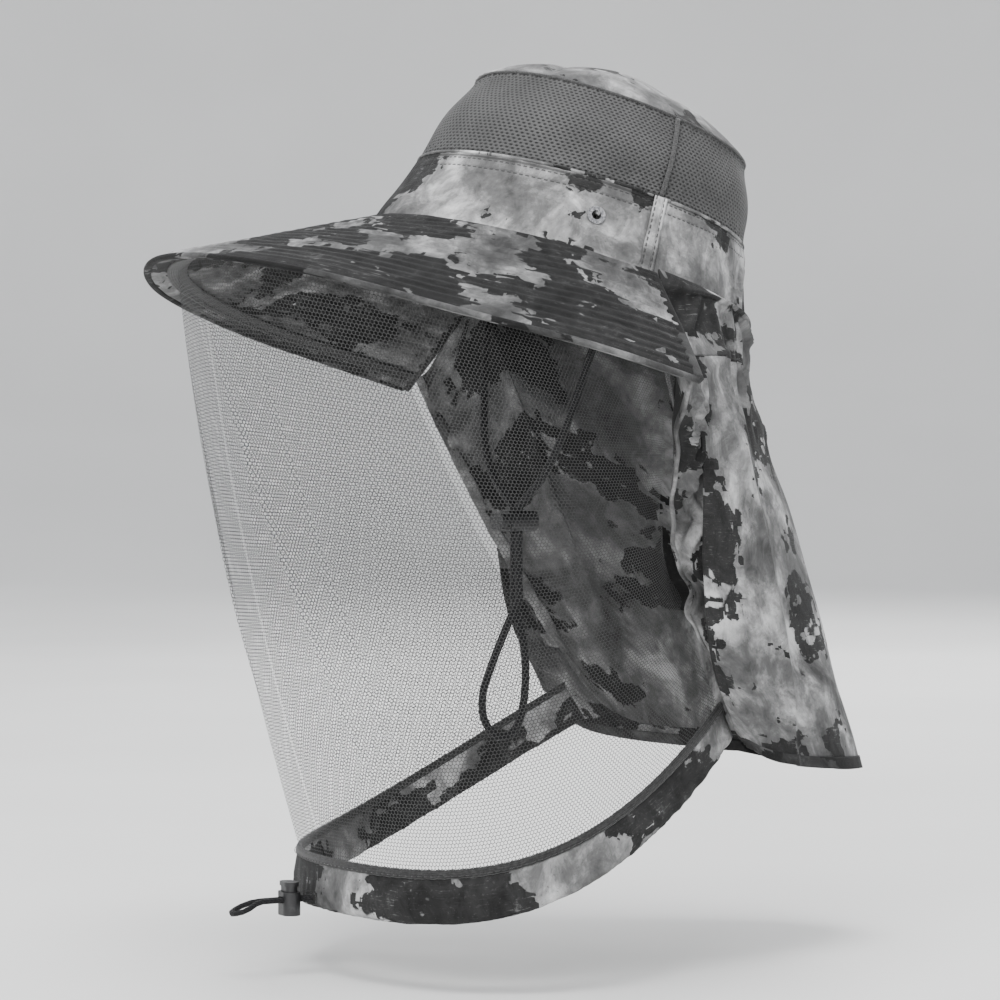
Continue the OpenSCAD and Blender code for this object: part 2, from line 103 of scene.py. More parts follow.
def new_piece(name, points, faces, uv=None, smooth=True):
    """A mesh object from points in millimetres, with the cloth's own lengths in millimetres as its UVs."""
    name = "soft_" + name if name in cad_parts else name
    mesh = bpy.data.meshes.new(name)
    mesh.from_pydata((np.array(points) * MM).tolist(), [], faces)
    if uv is not None:
        layer = mesh.uv_layers.new(name="cloth")
        corners = np.zeros(len(mesh.loops), np.int32)
        mesh.loops.foreach_get("vertex_index", corners)
        layer.data.foreach_set("uv", np.array(uv, float)[corners].astype(np.float32).ravel())
    mesh.polygons.foreach_set("use_smooth", [smooth] * len(mesh.polygons))
    mesh.validate()
    piece = bpy.data.objects.new(name, mesh)
    bpy.context.scene.collection.objects.link(piece)
    return piece


def sweep(name, route, outline, turned=None, ends=True):
    """Carries a closed outline, rows of (across, up) for each route point or one for all, along a route."""
    route = np.array(route, float)
    n = len(route)
    heading = unit(np.gradient(route, axis=0))
    across = np.zeros_like(route)
    side = np.array([0, 0, 1.0]) if abs(heading[0][2]) < 0.9 else np.array([1.0, 0, 0])
    for i in range(n):
        side = side if turned is None else np.array(turned[i], float)
        side = unit(side - heading[i] * (side @ heading[i]))
        across[i] = side
    up = np.cross(heading, across)
    outline = np.array(outline, float)
    if outline.ndim == 2:
        outline = np.repeat(outline[None], n, axis=0)
    sides = outline.shape[1]
    points = route[:, None] + across[:, None] * outline[..., :1] + up[:, None] * outline[..., 1:]
    along = np.concatenate([[0], np.cumsum(np.linalg.norm(np.diff(route, axis=0), axis=1))])
    girth = np.linalg.norm(outline[0] - np.roll(outline[0], 1, axis=0), axis=1).sum()
    uv = [(girth * abs(2 * k / sides - 1) / 2, along[i]) for i in range(n) for k in range(sides)]
    faces = [(i * sides + k, i * sides + (k + 1) % sides, (i + 1) * sides + (k + 1) % sides, (i + 1) * sides + k)
             for i in range(n - 1) for k in range(sides)]
    if ends:
        faces += [tuple(reversed(range(sides))), tuple(range((n - 1) * sides, n * sides))]
    return new_piece(name, points.reshape(-1, 3), faces, uv)


def ring(width, height=None, sides=12, square=1.0):
    """An oval outline; square above 1 flattens its sides."""
    height = width if height is None else height
    turn = np.arange(sides) / sides * 2 * np.pi
    c, s = np.cos(turn), np.sin(turn)
    return np.stack([np.sign(c) * abs(c) ** (1 / square) * width / 2,
                     np.sign(s) * abs(s) ** (1 / square) * height / 2], axis=1)


def length_of(route):
    return float(np.linalg.norm(np.diff(np.array(route, float), axis=0), axis=1).sum())


CHIN_D = 4.0
CHIN_Y, RUN_X = -23, 2.4
LOOP_TURN = math.radians(60)
chin_upper = [(76, 2, -9), (70, 0, -13), (62, -5, -20), (56, -9, -30), (51, -13, -46), (46, -16, -62),
              (38, -20, -82), (26, -22, -98), (12, -23, -108)]
chin_straight = [-115, -128, -141, -152]
loop_front = [(0, -160), (-5, -172), (-12, -190), (-17, -206), (-17, -218), (-13, -226)]
loop_rear = [(-7, -229), (-1, -226), (3, -217), (5, -204), (5, -188), (2, -170), (0, -160)]
loop_places = loop_front + loop_rear
loop = [(RUN_X - 2 * RUN_X * i / (len(loop_places) - 1) + x * math.cos(LOOP_TURN),
         CHIN_Y + x * math.sin(LOOP_TURN), z) for i, (x, z) in enumerate(loop_places)]
chin_down = chin_upper + [(RUN_X, CHIN_Y, z) for z in chin_straight]
chin_route = curve(chin_down + loop + [(-x, y, z) for x, y, z in reversed(chin_down)], 6)
chin_cord = sweep("chin_cord", chin_route, ring(CHIN_D))
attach(chin_cord, "hat")
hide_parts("chin_cord")


# ---- Hem drawcord ----
# A thin black cord that runs in the fold of the hem band all round the net, comes out through one stitched
# buttonhole in front, and ends in a short loop beyond its cord lock.
HEM_W, HEM_L = 200.0, 240.0
HEM_Y, HEM_EGG, HEM_H, HEM_DROP, HEM_FALL = -9, 14, 23, 238, 61
CHANNEL_R = 2.2
BAND_END, BAND_SLANT = 119, 0.04
DRAW_D = 2.6
EXIT_X, EXIT_GAP, EXIT_BEND = -12, 3.4, 5.2


def point(*xyz):
    return np.stack(np.broadcast_arrays(*[np.asarray(c, float) for c in xyz]), axis=-1)


def hem_plan(turn):
    a = np.radians(turn)
    return HEM_W / 2 * np.sin(a) + HEM_EGG * np.sin(2 * a), HEM_Y - HEM_L / 2 * np.cos(a)


def hem_outward(turn):
    (x1, y1), (x0, y0) = hem_plan(turn + 1), hem_plan(turn - 1)
    size = np.hypot(x1 - x0, y1 - y0)
    return (y1 - y0) / size, (x0 - x1) / size


def hem_z(turn):
    a = np.radians(turn)
    return -HEM_DROP - HEM_FALL * np.cos(a) + 11 * np.cos(2 * a) + 3 * np.cos(3 * a)


def hem_at(turn, up, out):
    """A point of the hem band: up from its top edge and out from its middle."""
    (x, y), (nx, ny) = hem_plan(turn), hem_outward(turn)
    return point(x + nx * out, y + ny * out, hem_z(turn) + up)


DRAW_LIFT = 4.2
draw_up = -HEM_H + DRAW_LIFT
exit_turn = math.degrees(EXIT_X / (HEM_W / 2 + 2 * HEM_EGG))
exit_y = float(hem_plan(exit_turn)[1])
exit_z = float(hem_z(exit_turn)) + draw_up
bend = [(EXIT_GAP / 2 + EXIT_BEND * (1 - math.sin(t)), exit_y - EXIT_BEND * (1 - math.cos(t)))
        for t in np.radians([10, 35, 60, 85])]
tail = [(EXIT_GAP / 2, -158, 0), (3, -162, -0.6), (5, -166.5, -2.4), (4.6, -170, -3.8), (2.6, -172.6, -4.6),
        (0, -173.4, -5), (-2.6, -172.6, -4.6), (-4.6, -170, -3.8), (-5, -166.5, -2.4), (-3, -162, -0.6),
        (-EXIT_GAP / 2, -158, 0)]
draw_route = np.array(
    [hem_at(t, draw_up, 0) for t in np.linspace(BAND_END - 4, 3, 45)]
    + [(EXIT_X + x, y, exit_z) for x, y in bend]
    + [(EXIT_X + x, y, exit_z + z) for x, y, z in tail]
    + [(EXIT_X - x, y, exit_z) for x, y in reversed(bend)]
    + [hem_at(t, draw_up, 0) for t in np.linspace(-12, -BAND_END + 4, 41)])
hem_drawcord = sweep("hem_drawcord", draw_route, ring(DRAW_D, sides=10))
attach(hem_drawcord, "hem")
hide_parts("hem_drawcord")


# ---- The cords' braid ----
# Both cords are the same flat-lustre black braid: strands that cross over each other at a slant, with a
# little grey dust on the tops of the strands.


class Value:
    """A socket in a material, with the operators that shader maths needs."""

    def __init__(self, finish, out):
        self.finish, self.out = finish, out

    def maths(self, operation, *others):
        return self.finish.node("ShaderNodeMath", {"operation": operation}, self, *others)

    def __add__(self, other): return self.maths("ADD", other)
    def __sub__(self, other): return self.maths("SUBTRACT", other)
    def __mul__(self, other): return self.maths("MULTIPLY", other)
    def __truediv__(self, other): return self.maths("DIVIDE", other)
    def __pow__(self, other): return self.maths("POWER", other)
    def __rsub__(self, other): return self.finish.number(other).maths("SUBTRACT", self)
    __radd__, __rmul__ = __add__, __mul__


class Finish:
    """One material, built from expressions on values."""

    def __init__(self, name, roughness=0.8, sheen=0.0, **even):
        self.material = bpy.data.materials.new(name)
        self.material.use_nodes = True
        self.tree = self.material.node_tree
        self.shader = next(n for n in self.tree.nodes if n.type == "BSDF_PRINCIPLED")
        self.shader.inputs["Roughness"].default_value = roughness
        self.shader.inputs["Sheen Weight"].default_value = sheen
        self.shader.inputs["Sheen Roughness"].default_value = 0.5
        self.shader.inputs["Specular IOR Level"].default_value = 0.5 if roughness < 0.6 else 0.18
        for socket, value in even.items():
            self.shader.inputs[socket.replace("_", " ")].default_value = value

    def node(self, kind, settings=None, *values, out=0, **named):
        made = self.tree.nodes.new(kind)
        for key, value in (settings or {}).items():
            if key == "stops":
                while len(made.color_ramp.elements) < len(value):
                    made.color_ramp.elements.new(0.5)
                for stop, (place, shade) in zip(made.color_ramp.elements, value):
                    stop.position, stop.color = place, (*shade, 1) if len(shade) == 3 else shade
            else:
                setattr(made, key, value)
        for socket, value in [*enumerate(values), *named.items()]:
            target = made.inputs[socket.replace("_", " ") if isinstance(socket, str) else socket]
            if isinstance(value, Value):
                self.tree.links.new(value.out, target)
            elif value is not None:
                target.default_value = value
        return Value(self, made.outputs[out])

    def number(self, value):
        return self.node("ShaderNodeMath", {"operation": "ADD"}, value, 0.0)

    def uv(self):
        return self.node("ShaderNodeUVMap", {"uv_map": "cloth"})

    def place(self):
        return self.node("ShaderNodeTexCoord", None, out=3)

    def split(self, vector):
        made = self.node("ShaderNodeSeparateXYZ", None, vector)
        return made, Value(self, made.out.node.outputs[1])

    def scaled(self, vector, x, y=None, z=1):
        return self.node("ShaderNodeMapping", None, vector, (0, 0, 0), (0, 0, 0), (x, x if y is None else y, z))

    def clouds(self, vector, scale, detail=2.0, rough=0.5, twist=0.0):
        return self.node("ShaderNodeTexNoise", {"noise_dimensions": "3D"}, vector, Scale=scale, Detail=detail,
                         Roughness=rough, Distortion=twist)

    def ramp(self, value, low, high):
        """0 below low, 1 above high, smooth between."""
        return self.node("ShaderNodeMapRange", {"interpolation_type": "SMOOTHSTEP"}, value, low, high, 0.0, 1.0)

    def shades(self, value, *stops):
        return self.node("ShaderNodeValToRGB", {"stops": stops}, value)

    def blend(self, share, a, b):
        """Two colours mixed: a where share is 0, b where it is 1."""
        made = self.tree.nodes.new("ShaderNodeMix")
        made.data_type = "RGBA"
        for socket, value in ((0, share), (6, a), (7, b)):
            if isinstance(value, Value):
                self.tree.links.new(value.out, made.inputs[socket])
            else:
                made.inputs[socket].default_value = value if socket == 0 else (*value, 1)
        return Value(self, made.outputs[2])

    def bump(self, height, depth_mm, strength=1.0, under=None):
        return self.node("ShaderNodeBump", None, Height=height, Distance=depth_mm * MM, Strength=strength,
                         Normal=under)

    def set(self, **sockets):
        for socket, value in sockets.items():
            self.tree.links.new(value.out, self.shader.inputs[socket.replace("_", " ")])
        return self.material


def wave(value, pitch):
    """0 to 1 and back once each pitch."""
    return (value * (2 * math.pi / pitch)).maths("SINE") * 0.5 + 0.5


def braid_finish():
    f = Finish("braided_cord", roughness=0.72, sheen=0.06)
    girth, along = f.split(f.uv())
    strands = wave(along + girth * 1.1, 2.1).maths("MAXIMUM", wave(along - girth * 1.1, 2.1))
    dust = f.ramp(f.clouds(f.place(), 700, 3), 0.5, 0.75) * strands
    f.set(Base_Color=f.blend(dust * 0.6, (0.01, 0.01, 0.011), (0.045, 0.045, 0.045)),
          Normal=f.bump(strands, 0.35, 0.9), Roughness=0.85 - strands * 0.2)
    return f.material


braid = braid_finish()
for cord in (chin_cord, hem_drawcord):
    cord.data.materials.append(braid)


# ---- Crown top ----
# One domed piece of printed woven polyester, cut as an oval, sewn into the mesh panels' upper edge with the
# seam taped inside. It carries the camouflage print, and puckers a little along its seam.
crown_low, crown_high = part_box("crown_band_rear")
CLOTH_T = 0.6
HEAD_W, HEAD_L = (crown_high.x - crown_low.x) / MM - 1, 200.0
TILT = math.radians(16)
BAND_H, MESH_H, REAR_DIP, TOP_RISE, SEAM_GAP = 40, 47, 7, 23, 0.2
WAIST, WAIST_LONG, TOP, TOP_LONG, TOP_BACK = 0.9, 0.865, 0.78, 0.71, 8


def worn(p):
    """The level hat leans back about the X axis as it is worn."""
    x, y, z = p[..., 0], p[..., 1], p[..., 2]
    return point(x, y * math.cos(TILT) + z * math.sin(TILT), -y * math.sin(TILT) + z * math.cos(TILT))


def ring_outward(turn):
    a = np.radians(turn)
    n = unit(point(np.sin(a) / HEAD_W, -np.cos(a) / HEAD_L))
    return n[..., 0], n[..., 1]


def crown_at(turn, h, out):
    """The crown's wall: it narrows in width and in length up to each seam, and its middle moves back."""
    a, level = np.radians(turn), [0, BAND_H, BAND_H + MESH_H]
    low = np.minimum(h, 0) / BAND_H
    wide = np.interp(h, level, [1, WAIST, TOP]) - low * (1 - WAIST)
    long = np.interp(h, level, [1, WAIST_LONG, TOP_LONG]) - low * (1 - WAIST_LONG)
    nx, ny = ring_outward(turn)
    return worn(point(HEAD_W / 2 * wide * np.sin(a) + nx * out,
                      TOP_BACK * np.asarray(h) / level[2] - HEAD_L / 2 * long * np.cos(a) + ny * out, h))


def pushed(turn, size):
    """A step straight out from the crown."""
    nx, ny = ring_outward(turn)
    return worn(point(nx, ny, 0)) * size


def mesh_at(turn, t):
    """The mesh panels, t from 0 at their lower seam to 1 at the top seam, which dips towards the back."""
    front = (1 + np.cos(np.radians(turn))) / 2
    return crown_at(turn, BAND_H + SEAM_GAP + t * (MESH_H - SEAM_GAP - REAR_DIP * (1 - front * front)), 0)


def rumple(p, size, seed, stretch=(1, 1, 1)):
    """A smooth random number from -1 to 1 at each point in millimetres; size is the width of its lumps."""
    q = np.asarray(p, float) * np.array(stretch) / size + np.array([seed * 7.3, seed * 3.1, seed * 5.7])
    flat = q.reshape(-1, 3)
    return np.array([noise.noise(Vector(v)) for v in flat]).reshape(q.shape[:-1])


def crease(p, size, seed, stretch=(1, 1, 1)):
    """Sharp ridges, 0 to 1, along the lines where a random number passes through 0."""
    return np.clip(1 - abs(rumple(p, size, seed, stretch)) * 5, 0, 1) ** 2


def sew(name, surface, us, vs, thick=CLOTH_T, fold=None, wrap=False):
    """A cloth panel: a surface in millimetres over us by vs, moved along its normals by fold(u, v, points)."""
    u, v = np.meshgrid(np.asarray(us, float), np.asarray(vs, float))
    p = surface(u, v)
    if fold is not None:
        gap_u = np.gradient(np.concatenate([p[:, -2:-1], p, p[:, 1:2]], 1), axis=1)[:, 1:-1] if wrap \
            else np.gradient(p, axis=1)
        n = unit(np.cross(gap_u, np.gradient(p, axis=0)))
        p = p + n * fold(u, v, p)[..., None]
    run_u = np.linalg.norm(np.diff(p, axis=1), axis=2)
    run_v = np.linalg.norm(np.diff(p, axis=0), axis=2)
    across = np.concatenate([[0], np.cumsum(run_u.mean(axis=0))])
    down = np.concatenate([[0], np.cumsum(run_v.mean(axis=1))])
    uv = np.stack(np.meshgrid(across, down), axis=-1).reshape(-1, 2)
    rows, cols = u.shape
    ids = np.arange(rows * cols).reshape(rows, cols)
    faces = np.stack([ids[:-1, :-1], ids[1:, :-1], ids[1:, 1:], ids[:-1, 1:]], axis=-1).reshape(-1, 4)
    piece = new_piece(name, p.reshape(-1, 3), faces.tolist(), uv)
    if wrap:
        close_seam(piece)
    if thick:
        solid = piece.modifiers.new("thickness", "SOLIDIFY")
        solid.thickness, solid.offset = thick * MM, 0
    return piece


def close_seam(piece):
    """Joins the first and last column of a wrapped piece; its UVs keep their seam."""
    work = bmesh.new()
    work.from_mesh(piece.data)
    bmesh.ops.remove_doubles(work, verts=work.verts, dist=2e-5)
    work.to_mesh(piece.data)
    work.free()


def belongs(piece, body, slot, finish, *nodes):
    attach(piece, body)
    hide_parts(*nodes)
    piece.data.materials.append(finish)
    return piece


def top_surface(turn, r):
    middle = (crown_at(0, BAND_H + MESH_H, 0) + mesh_at(180, 1)) / 2
    edge, r = mesh_at(turn, 1) + point(0, 0, 1), r[..., None]
    return middle + (edge - middle) * r + worn(point(0, 0, TOP_RISE)) * (1 - r ** 2.6)


def top_folds(turn, r, p):
    pucker = np.sin(np.radians(turn) * 46 + 3 * np.sin(np.radians(turn) * 5)) * np.clip((r - 0.8) / 0.2, 0, 1) ** 2
    dents = 2.6 * rumple(p, 42, 1) * (1 - r ** 6) + 2.4 * crease(p, 70, 2) * r * (1 - r ** 8)
    return 0.5 * pucker + dents + 1.4 * np.sin(np.pi * r) * r


def camo_finish(name, shade=1.0, seed=0.0, dark=0.0, stitches=(), seams=(), size=1.0):
    """Watery grey print with dark torn blotches; dark adds to their share. stitches and seams are distances
    along V, in millimetres. shade scales every colour: the copies on the brim plies and binding, the rear
    panel and the gathered edges are darkened with it as painted shade; on the turned cape hem it sets that
    cloth's darker colour."""
    f = Finish(name, roughness=0.85, sheen=0.03)
    uv = f.uv()
    across, down = f.split(uv)

    def moved(vector, by, jump):
        return f.node("ShaderNodeVectorMath", {"operation": "MULTIPLY_ADD"}, by, jump, vector)

    def blocks(vector, across_mm, down_mm):
        """A random colour for each block of about the given size."""
        return f.node("ShaderNodeTexVoronoi", {"distance": "CHEBYCHEV"},
                      f.scaled(vector, 1 / across_mm, 1 / down_mm), Scale=1.0, Randomness=0.8, out=1)

    print_place = f.node("ShaderNodeVectorMath", {"operation": "ADD"}, uv, (seed * 311.0, seed * 173.0, 0))
    torn = moved(print_place, blocks(print_place, 10 * size, 8 * size), (11 * size, 8 * size, 0))
    torn = moved(torn, blocks(print_place, 3.4, 2.6), (1.8, 1.4, 0))
    big = f.clouds(f.scaled(torn, 0.0165 / size, 0.02 / size), 1.0, 1, 0.4, 0.2)
    middling = f.clouds(f.scaled(torn, 0.045 / size, 0.055 / size), 1.0, 1, 0.5)
    blotch = f.ramp(big + middling * 0.34, 0.715 - dark, 0.725 - dark)
    windows = f.ramp(f.clouds(f.scaled(torn, 0.075, 0.09), 1.0, 1, 0.5), 0.68, 0.695)
    marks = f.ramp(f.clouds(f.scaled(torn, 0.07, 0.09), 1.0, 1, 0.5), 0.735 - dark * 0.4, 0.75 - dark * 0.4)
    ink = (blotch - windows).maths("MAXIMUM", marks)
    wash = f.clouds(f.scaled(print_place, 0.028), 1.0, 6, 0.6, 0.4)
    veins = f.clouds(f.scaled(print_place, 0.075, 0.06), 1.0, 8, 0.7, 0.7)
    edge = f.ramp((wash - 0.5).maths("ABSOLUTE"), 0.018, 0.0) * 0.35
    ground = f.shades(wash * 0.66 + veins * 0.34, (0.38, [0.05 * shade] * 3), (0.47, [0.12 * shade] * 3),
                      (0.54, [0.26 * shade] * 3), (0.64, [0.6 * shade] * 3))
    ground = f.blend(edge, ground, (0.09 * shade,) * 3)
    specks = f.ramp(f.clouds(f.scaled(print_place, 0.7), 1.0, 2, 0.6), 0.64, 0.69)
    threads = f.ramp(f.clouds(f.scaled(print_place, 0.12, 1.3), 1.0, 3, 0.65), 0.56, 0.66)
    colour = f.blend(specks * 0.5, ground, (0.07 * shade,) * 3)
    deep = f.shades(veins + threads * 0.14, (0.36, [0.006 * shade] * 3), (0.62, [0.022 * shade] * 3),
                    (0.76, [0.13 * shade] * 3))
    colour = f.blend(ink * (0.98 - specks * 0.2), colour, deep)
    yarn = wave(across, 0.62) * wave(down, 0.62) + wave(across + 0.31, 0.62) * wave(down + 0.31, 0.62)
    colour = f.blend(yarn * 0.14, colour, (0.02, 0.02, 0.02))
    height = yarn * 0.18 + f.clouds(f.scaled(print_place, 0.12), 1.0, 4, 0.6) * 1.6
    for place in stitches:
        line = f.ramp((down - place).maths("ABSOLUTE"), 0.55, 0.2)
        dash = f.ramp(wave(across, 3.2), 0.25, 0.4)
        colour = f.blend(line * dash * 0.85, colour, (0.035 * shade,) * 3)
        groove = f.ramp((down - place).maths("ABSOLUTE"), 1.3, 0.1)
        height = height - groove * 1.1 + line * dash * 0.9
    for place in seams:
        colour = f.blend(f.ramp((down - place).maths("ABSOLUTE"), 1.0, 0.3) * 0.7, colour, (0.02,) * 3)
    f.set(Base_Color=colour, Normal=f.bump(height, 0.45, 0.8), Roughness=f.ramp(wash, 0.2, 0.8) * 0.12 + 0.78)
    return f.material


turns = np.linspace(0, 360, 241)
top_radii = np.concatenate([[0.02], np.linspace(0.06, 0.97, 40), [0.99, 1.005]])
crown_top = sew("crown_top", top_surface, turns, top_radii, fold=top_folds, wrap=True)
belongs(crown_top, "hat", "camo_cloth", camo_finish("camo_top", 1.0, 1.7, 0.02), "crown_top")


def planar_print(piece):
    """Lays the print flat on a domed piece, so that it doesn't crowd in the middle."""
    layer, mesh = piece.data.uv_layers["cloth"], piece.data
    for corner in mesh.loops:
        co = mesh.vertices[corner.vertex_index].co
        layer.data[corner.index].uv = (co.x / MM + 100, co.y / MM + 100)


planar_print(crown_top)


# ---- Crown mesh panels ----
# Two curved strips of dark knitted air mesh, one in front and one behind, joined at the sides. The knit has
# rows of small oval holes, set off by half a hole from row to row.
def mesh_finish():
    f = Finish("air_mesh", roughness=0.7, sheen=0.06)
    across, down = f.split(f.uv())
    pitch_u, pitch_v = 2.8, 1.7
    row = (down / pitch_v).maths("FLOOR")
    shift = row.maths("MODULO", 2.0) * 0.5
    cell_u = ((across / pitch_u + shift).maths("FRACT") - 0.5) * pitch_u
    cell_v = ((down / pitch_v).maths("FRACT") - 0.5) * pitch_v
    reach = ((cell_u / 0.9) ** 2.0 + (cell_v / 0.55) ** 2.0).maths("SQRT")
    # Painted shade: the holes are coloured near black (0.012) for the shaded inside of the crown seen through them.
    hole = f.ramp(reach, 1.0, 0.72)
    yarn = f.clouds(f.scaled(f.uv(), 1.4, 2.6), 1.0, 3, 0.6)
    shading = f.clouds(f.scaled(f.uv(), 0.03), 1.0, 3, 0.5)
    cloth = f.shades(yarn * 0.4 + shading * 0.6, (0.3, (0.045,) * 3), (0.7, (0.105,) * 3))
    f.set(Base_Color=f.blend(hole * 0.85, cloth, (0.012,) * 3),
          Normal=f.bump(reach.maths("MINIMUM", 1.4) + yarn * 0.4, 0.6, 0.9))
    return f.material


air_mesh = mesh_finish()
SIDE_SEAM = 90


def mesh_folds(turn, t, p):
    edge = np.sin(np.radians(turn) * 70 + 4 * np.sin(np.radians(turn) * 6))
    soft = 2.4 * rumple(p, 34, 4, (1, 1, 0.5)) + 3.0 * np.sin(np.pi * t)
    return soft * np.clip(np.sin(np.pi * t), 0, 1) ** 0.7 + 0.35 * edge * (abs(t - 0.5) * 2) ** 3


for name, turn_from, turn_to in (("crown_mesh_front", -SIDE_SEAM, SIDE_SEAM),
                                 ("crown_mesh_rear", SIDE_SEAM, 360 - SIDE_SEAM)):
    panel = sew(name, mesh_at, np.linspace(turn_from + 0.1, turn_to - 0.1, 150), np.linspace(0, 1.005, 24),
                fold=mesh_folds)
    belongs(panel, "hat", "air_mesh", air_mesh, name)


# ---- Side bands ----
# Two strips of the printed cloth round the lower crown, front and rear, over the sweatband. The upper edge is
# turned over the mesh and topstitched twice.
EYELET_TURN, EYELET_H, BAND_HOLE, SWEAT_HOLE = 71, 20, 3.3, 5.2


def band_folds(turn, h, p):
    t = np.clip(h / BAND_H, 0, 1)
    edge = np.sin(np.radians(turn) * 60 + 4 * np.sin(np.radians(turn) * 7))
    pinch = np.exp(-((turn - 180) / 40) ** 2)
    gathers = np.sin(np.radians(turn) * 44 + 2 * rumple(p, 20, 12)) * pinch * np.sin(np.pi * t) ** 0.5
    behind = np.clip((turn - 92) / 14, 0, 1) * np.clip((268 - turn) / 14, 0, 1)
    crumpled = 2.6 * (crease(p, 34, 13, (1, 1, 0.5)) - 0.2) * behind * np.clip(np.sin(np.pi * t), 0, 1)
    flat = 1 - np.exp(-((abs(turn) - EYELET_TURN) / 5) ** 2 - ((h - EYELET_H) / 8) ** 2)
    return flat * (1.6 * rumple(p, 30, 5, (1, 1, 0.6)) * np.clip(np.sin(np.pi * t), 0, 1) ** 0.6
                   + 0.25 * edge * (abs(t - 0.5) * 2) ** 4) + 1.3 * gathers + crumpled


def punch(piece, radius):
    """Cuts the cloth away inside the two eyelets."""
    work = bmesh.new()
    work.from_mesh(piece.data)
    middles = [Vector(crown_at(EYELET_TURN * side, EYELET_H, 0) * MM) for side in (-1, 1)]
    gone = [face for face in work.faces
            if min((face.calc_center_median() - middle).length for middle in middles) < radius * MM]
    bmesh.ops.delete(work, geom=gone, context="FACES")
    work.to_mesh(piece.data)
    work.free()


band_finish = camo_finish("camo_band", 1.1, 2.4, 0.012, stitches=(33.6, 38.4), seams=(39.9,))
for name, turn_from, turn_to in (("crown_band_front", -SIDE_SEAM, SIDE_SEAM),
                                 ("crown_band_rear", SIDE_SEAM, 360 - SIDE_SEAM)):
    panel = sew(name, lambda a, h: crown_at(a, h, 0), np.linspace(turn_from + 0.1, turn_to - 0.1, 150),
                np.linspace(0, BAND_H - 0.1, 24), fold=band_folds)
    punch(panel, BAND_HOLE)
    belongs(panel, "hat", "camo_cloth", band_finish, name)

# The fold of the band over the mesh stands up as a narrow ridge, and so does the crown's top seam.
band_ridge = sweep("band_ridge", [crown_at(a, BAND_H - 0.4, 0.35) for a in np.linspace(0, 360, 181)],
                   ring(1.6, 1.5, 8), turned=[(0, 0, 1)] * 181, ends=False)
belongs(band_ridge, "hat", "camo_cloth", band_finish)
top_ridge = sweep("top_seam_ridge", [mesh_at(a, 1.01) + pushed(a, 0.5) for a in np.linspace(0, 360, 181)],
                  ring(1.5, 1.4, 8), turned=[(0, 0, 1)] * 181, ends=False)


# ---- Black trim inside the crown ----
# A wicking sweatband, a bias tape over the top seam, the elastic across the back in its casing, and the two
# tabs that hold the chin cord are black or white narrow goods with a fine cross rib.
def tape_finish(name, dark, light, rib=1.0):
    f = Finish(name, roughness=0.78, sheen=0.2)
    across, down = f.split(f.uv())
    ribs = wave(down, rib) * 0.6 + wave(across, rib * 0.7) * 0.4
    fuzz = f.clouds(f.scaled(f.uv(), 0.6), 1.0, 4, 0.65)
    colour = f.blend(f.ramp(fuzz, 0.35, 0.75) * 0.7 + ribs * 0.3, (dark,) * 3, (light,) * 3)
    f.set(Base_Color=colour, Normal=f.bump(ribs + fuzz * 0.5, 0.3, 0.7))
    return f.material


SWEAT_IN, SWEAT_H, ELASTIC_IN, TAPE_IN = 3.9, 32, 2.1, 1.3
webbing = tape_finish("black_webbing", 0.012, 0.05)
top_ridge_finish = tape_finish("mesh_seam", 0.03, 0.09)
belongs(top_ridge, "hat", "air_mesh", top_ridge_finish)


def sweat_folds(turn, h, p):
    gather = np.exp(-((turn - 180) / 45) ** 2) * np.sin(np.radians(turn) * 60)
    return 0.5 * rumple(p, 25, 8) + 0.5 * gather


sweatband = sew("sweatband", lambda a, h: crown_at(a, h, -SWEAT_IN), turns, np.linspace(0.5, SWEAT_H, 14), thick=1.0,
                fold=sweat_folds, wrap=True)
punch(sweatband, SWEAT_HOLE)
belongs(sweatband, "hat", "black_webbing", webbing, "sweatband")
top_tape = sew("crown_top_tape", lambda a, t: mesh_at(a, t) - pushed(a, TAPE_IN), turns, np.linspace(0.78, 0.96, 6),
               thick=0.5, wrap=True, fold=lambda a, t, p: 0.2 * rumple(p, 12, 9))
belongs(top_tape, "hat", "black_webbing", webbing, "crown_top_tape")
elastic = sew("rear_elastic", lambda a, h: crown_at(a, h, -ELASTIC_IN), np.linspace(140, 220, 60),
              np.linspace(6, 20, 10), thick=0.9, fold=lambda a, h, p: 0.25 * np.sin(np.radians(a) * 90))
belongs(elastic, "hat", "elastic_white", tape_finish("white_elastic", 0.5, 0.85, 1.4), "rear_elastic")

TAB_TURN = 88
for k, side in enumerate((-1, 1)):
    foot = crown_at(np.array(TAB_TURN * side), np.array(-1.0), -7)
    tab_route = [foot + np.array([0.5 * side * math.sin(t * 3), -1.6 * t, -6.5 + 13 * t]) for t in
                 np.linspace(0, 1, 14)]
    tab = sweep(f"cord_tab_{'right' if side < 0 else 'left'}", tab_route, ring(1.6, 10.5, 12, 2.5),
                turned=[(side, 0, 0)] * 14)
    belongs(tab, "hat", "black_webbing", webbing, *(["cord_tabs"] if k == 0 else []))


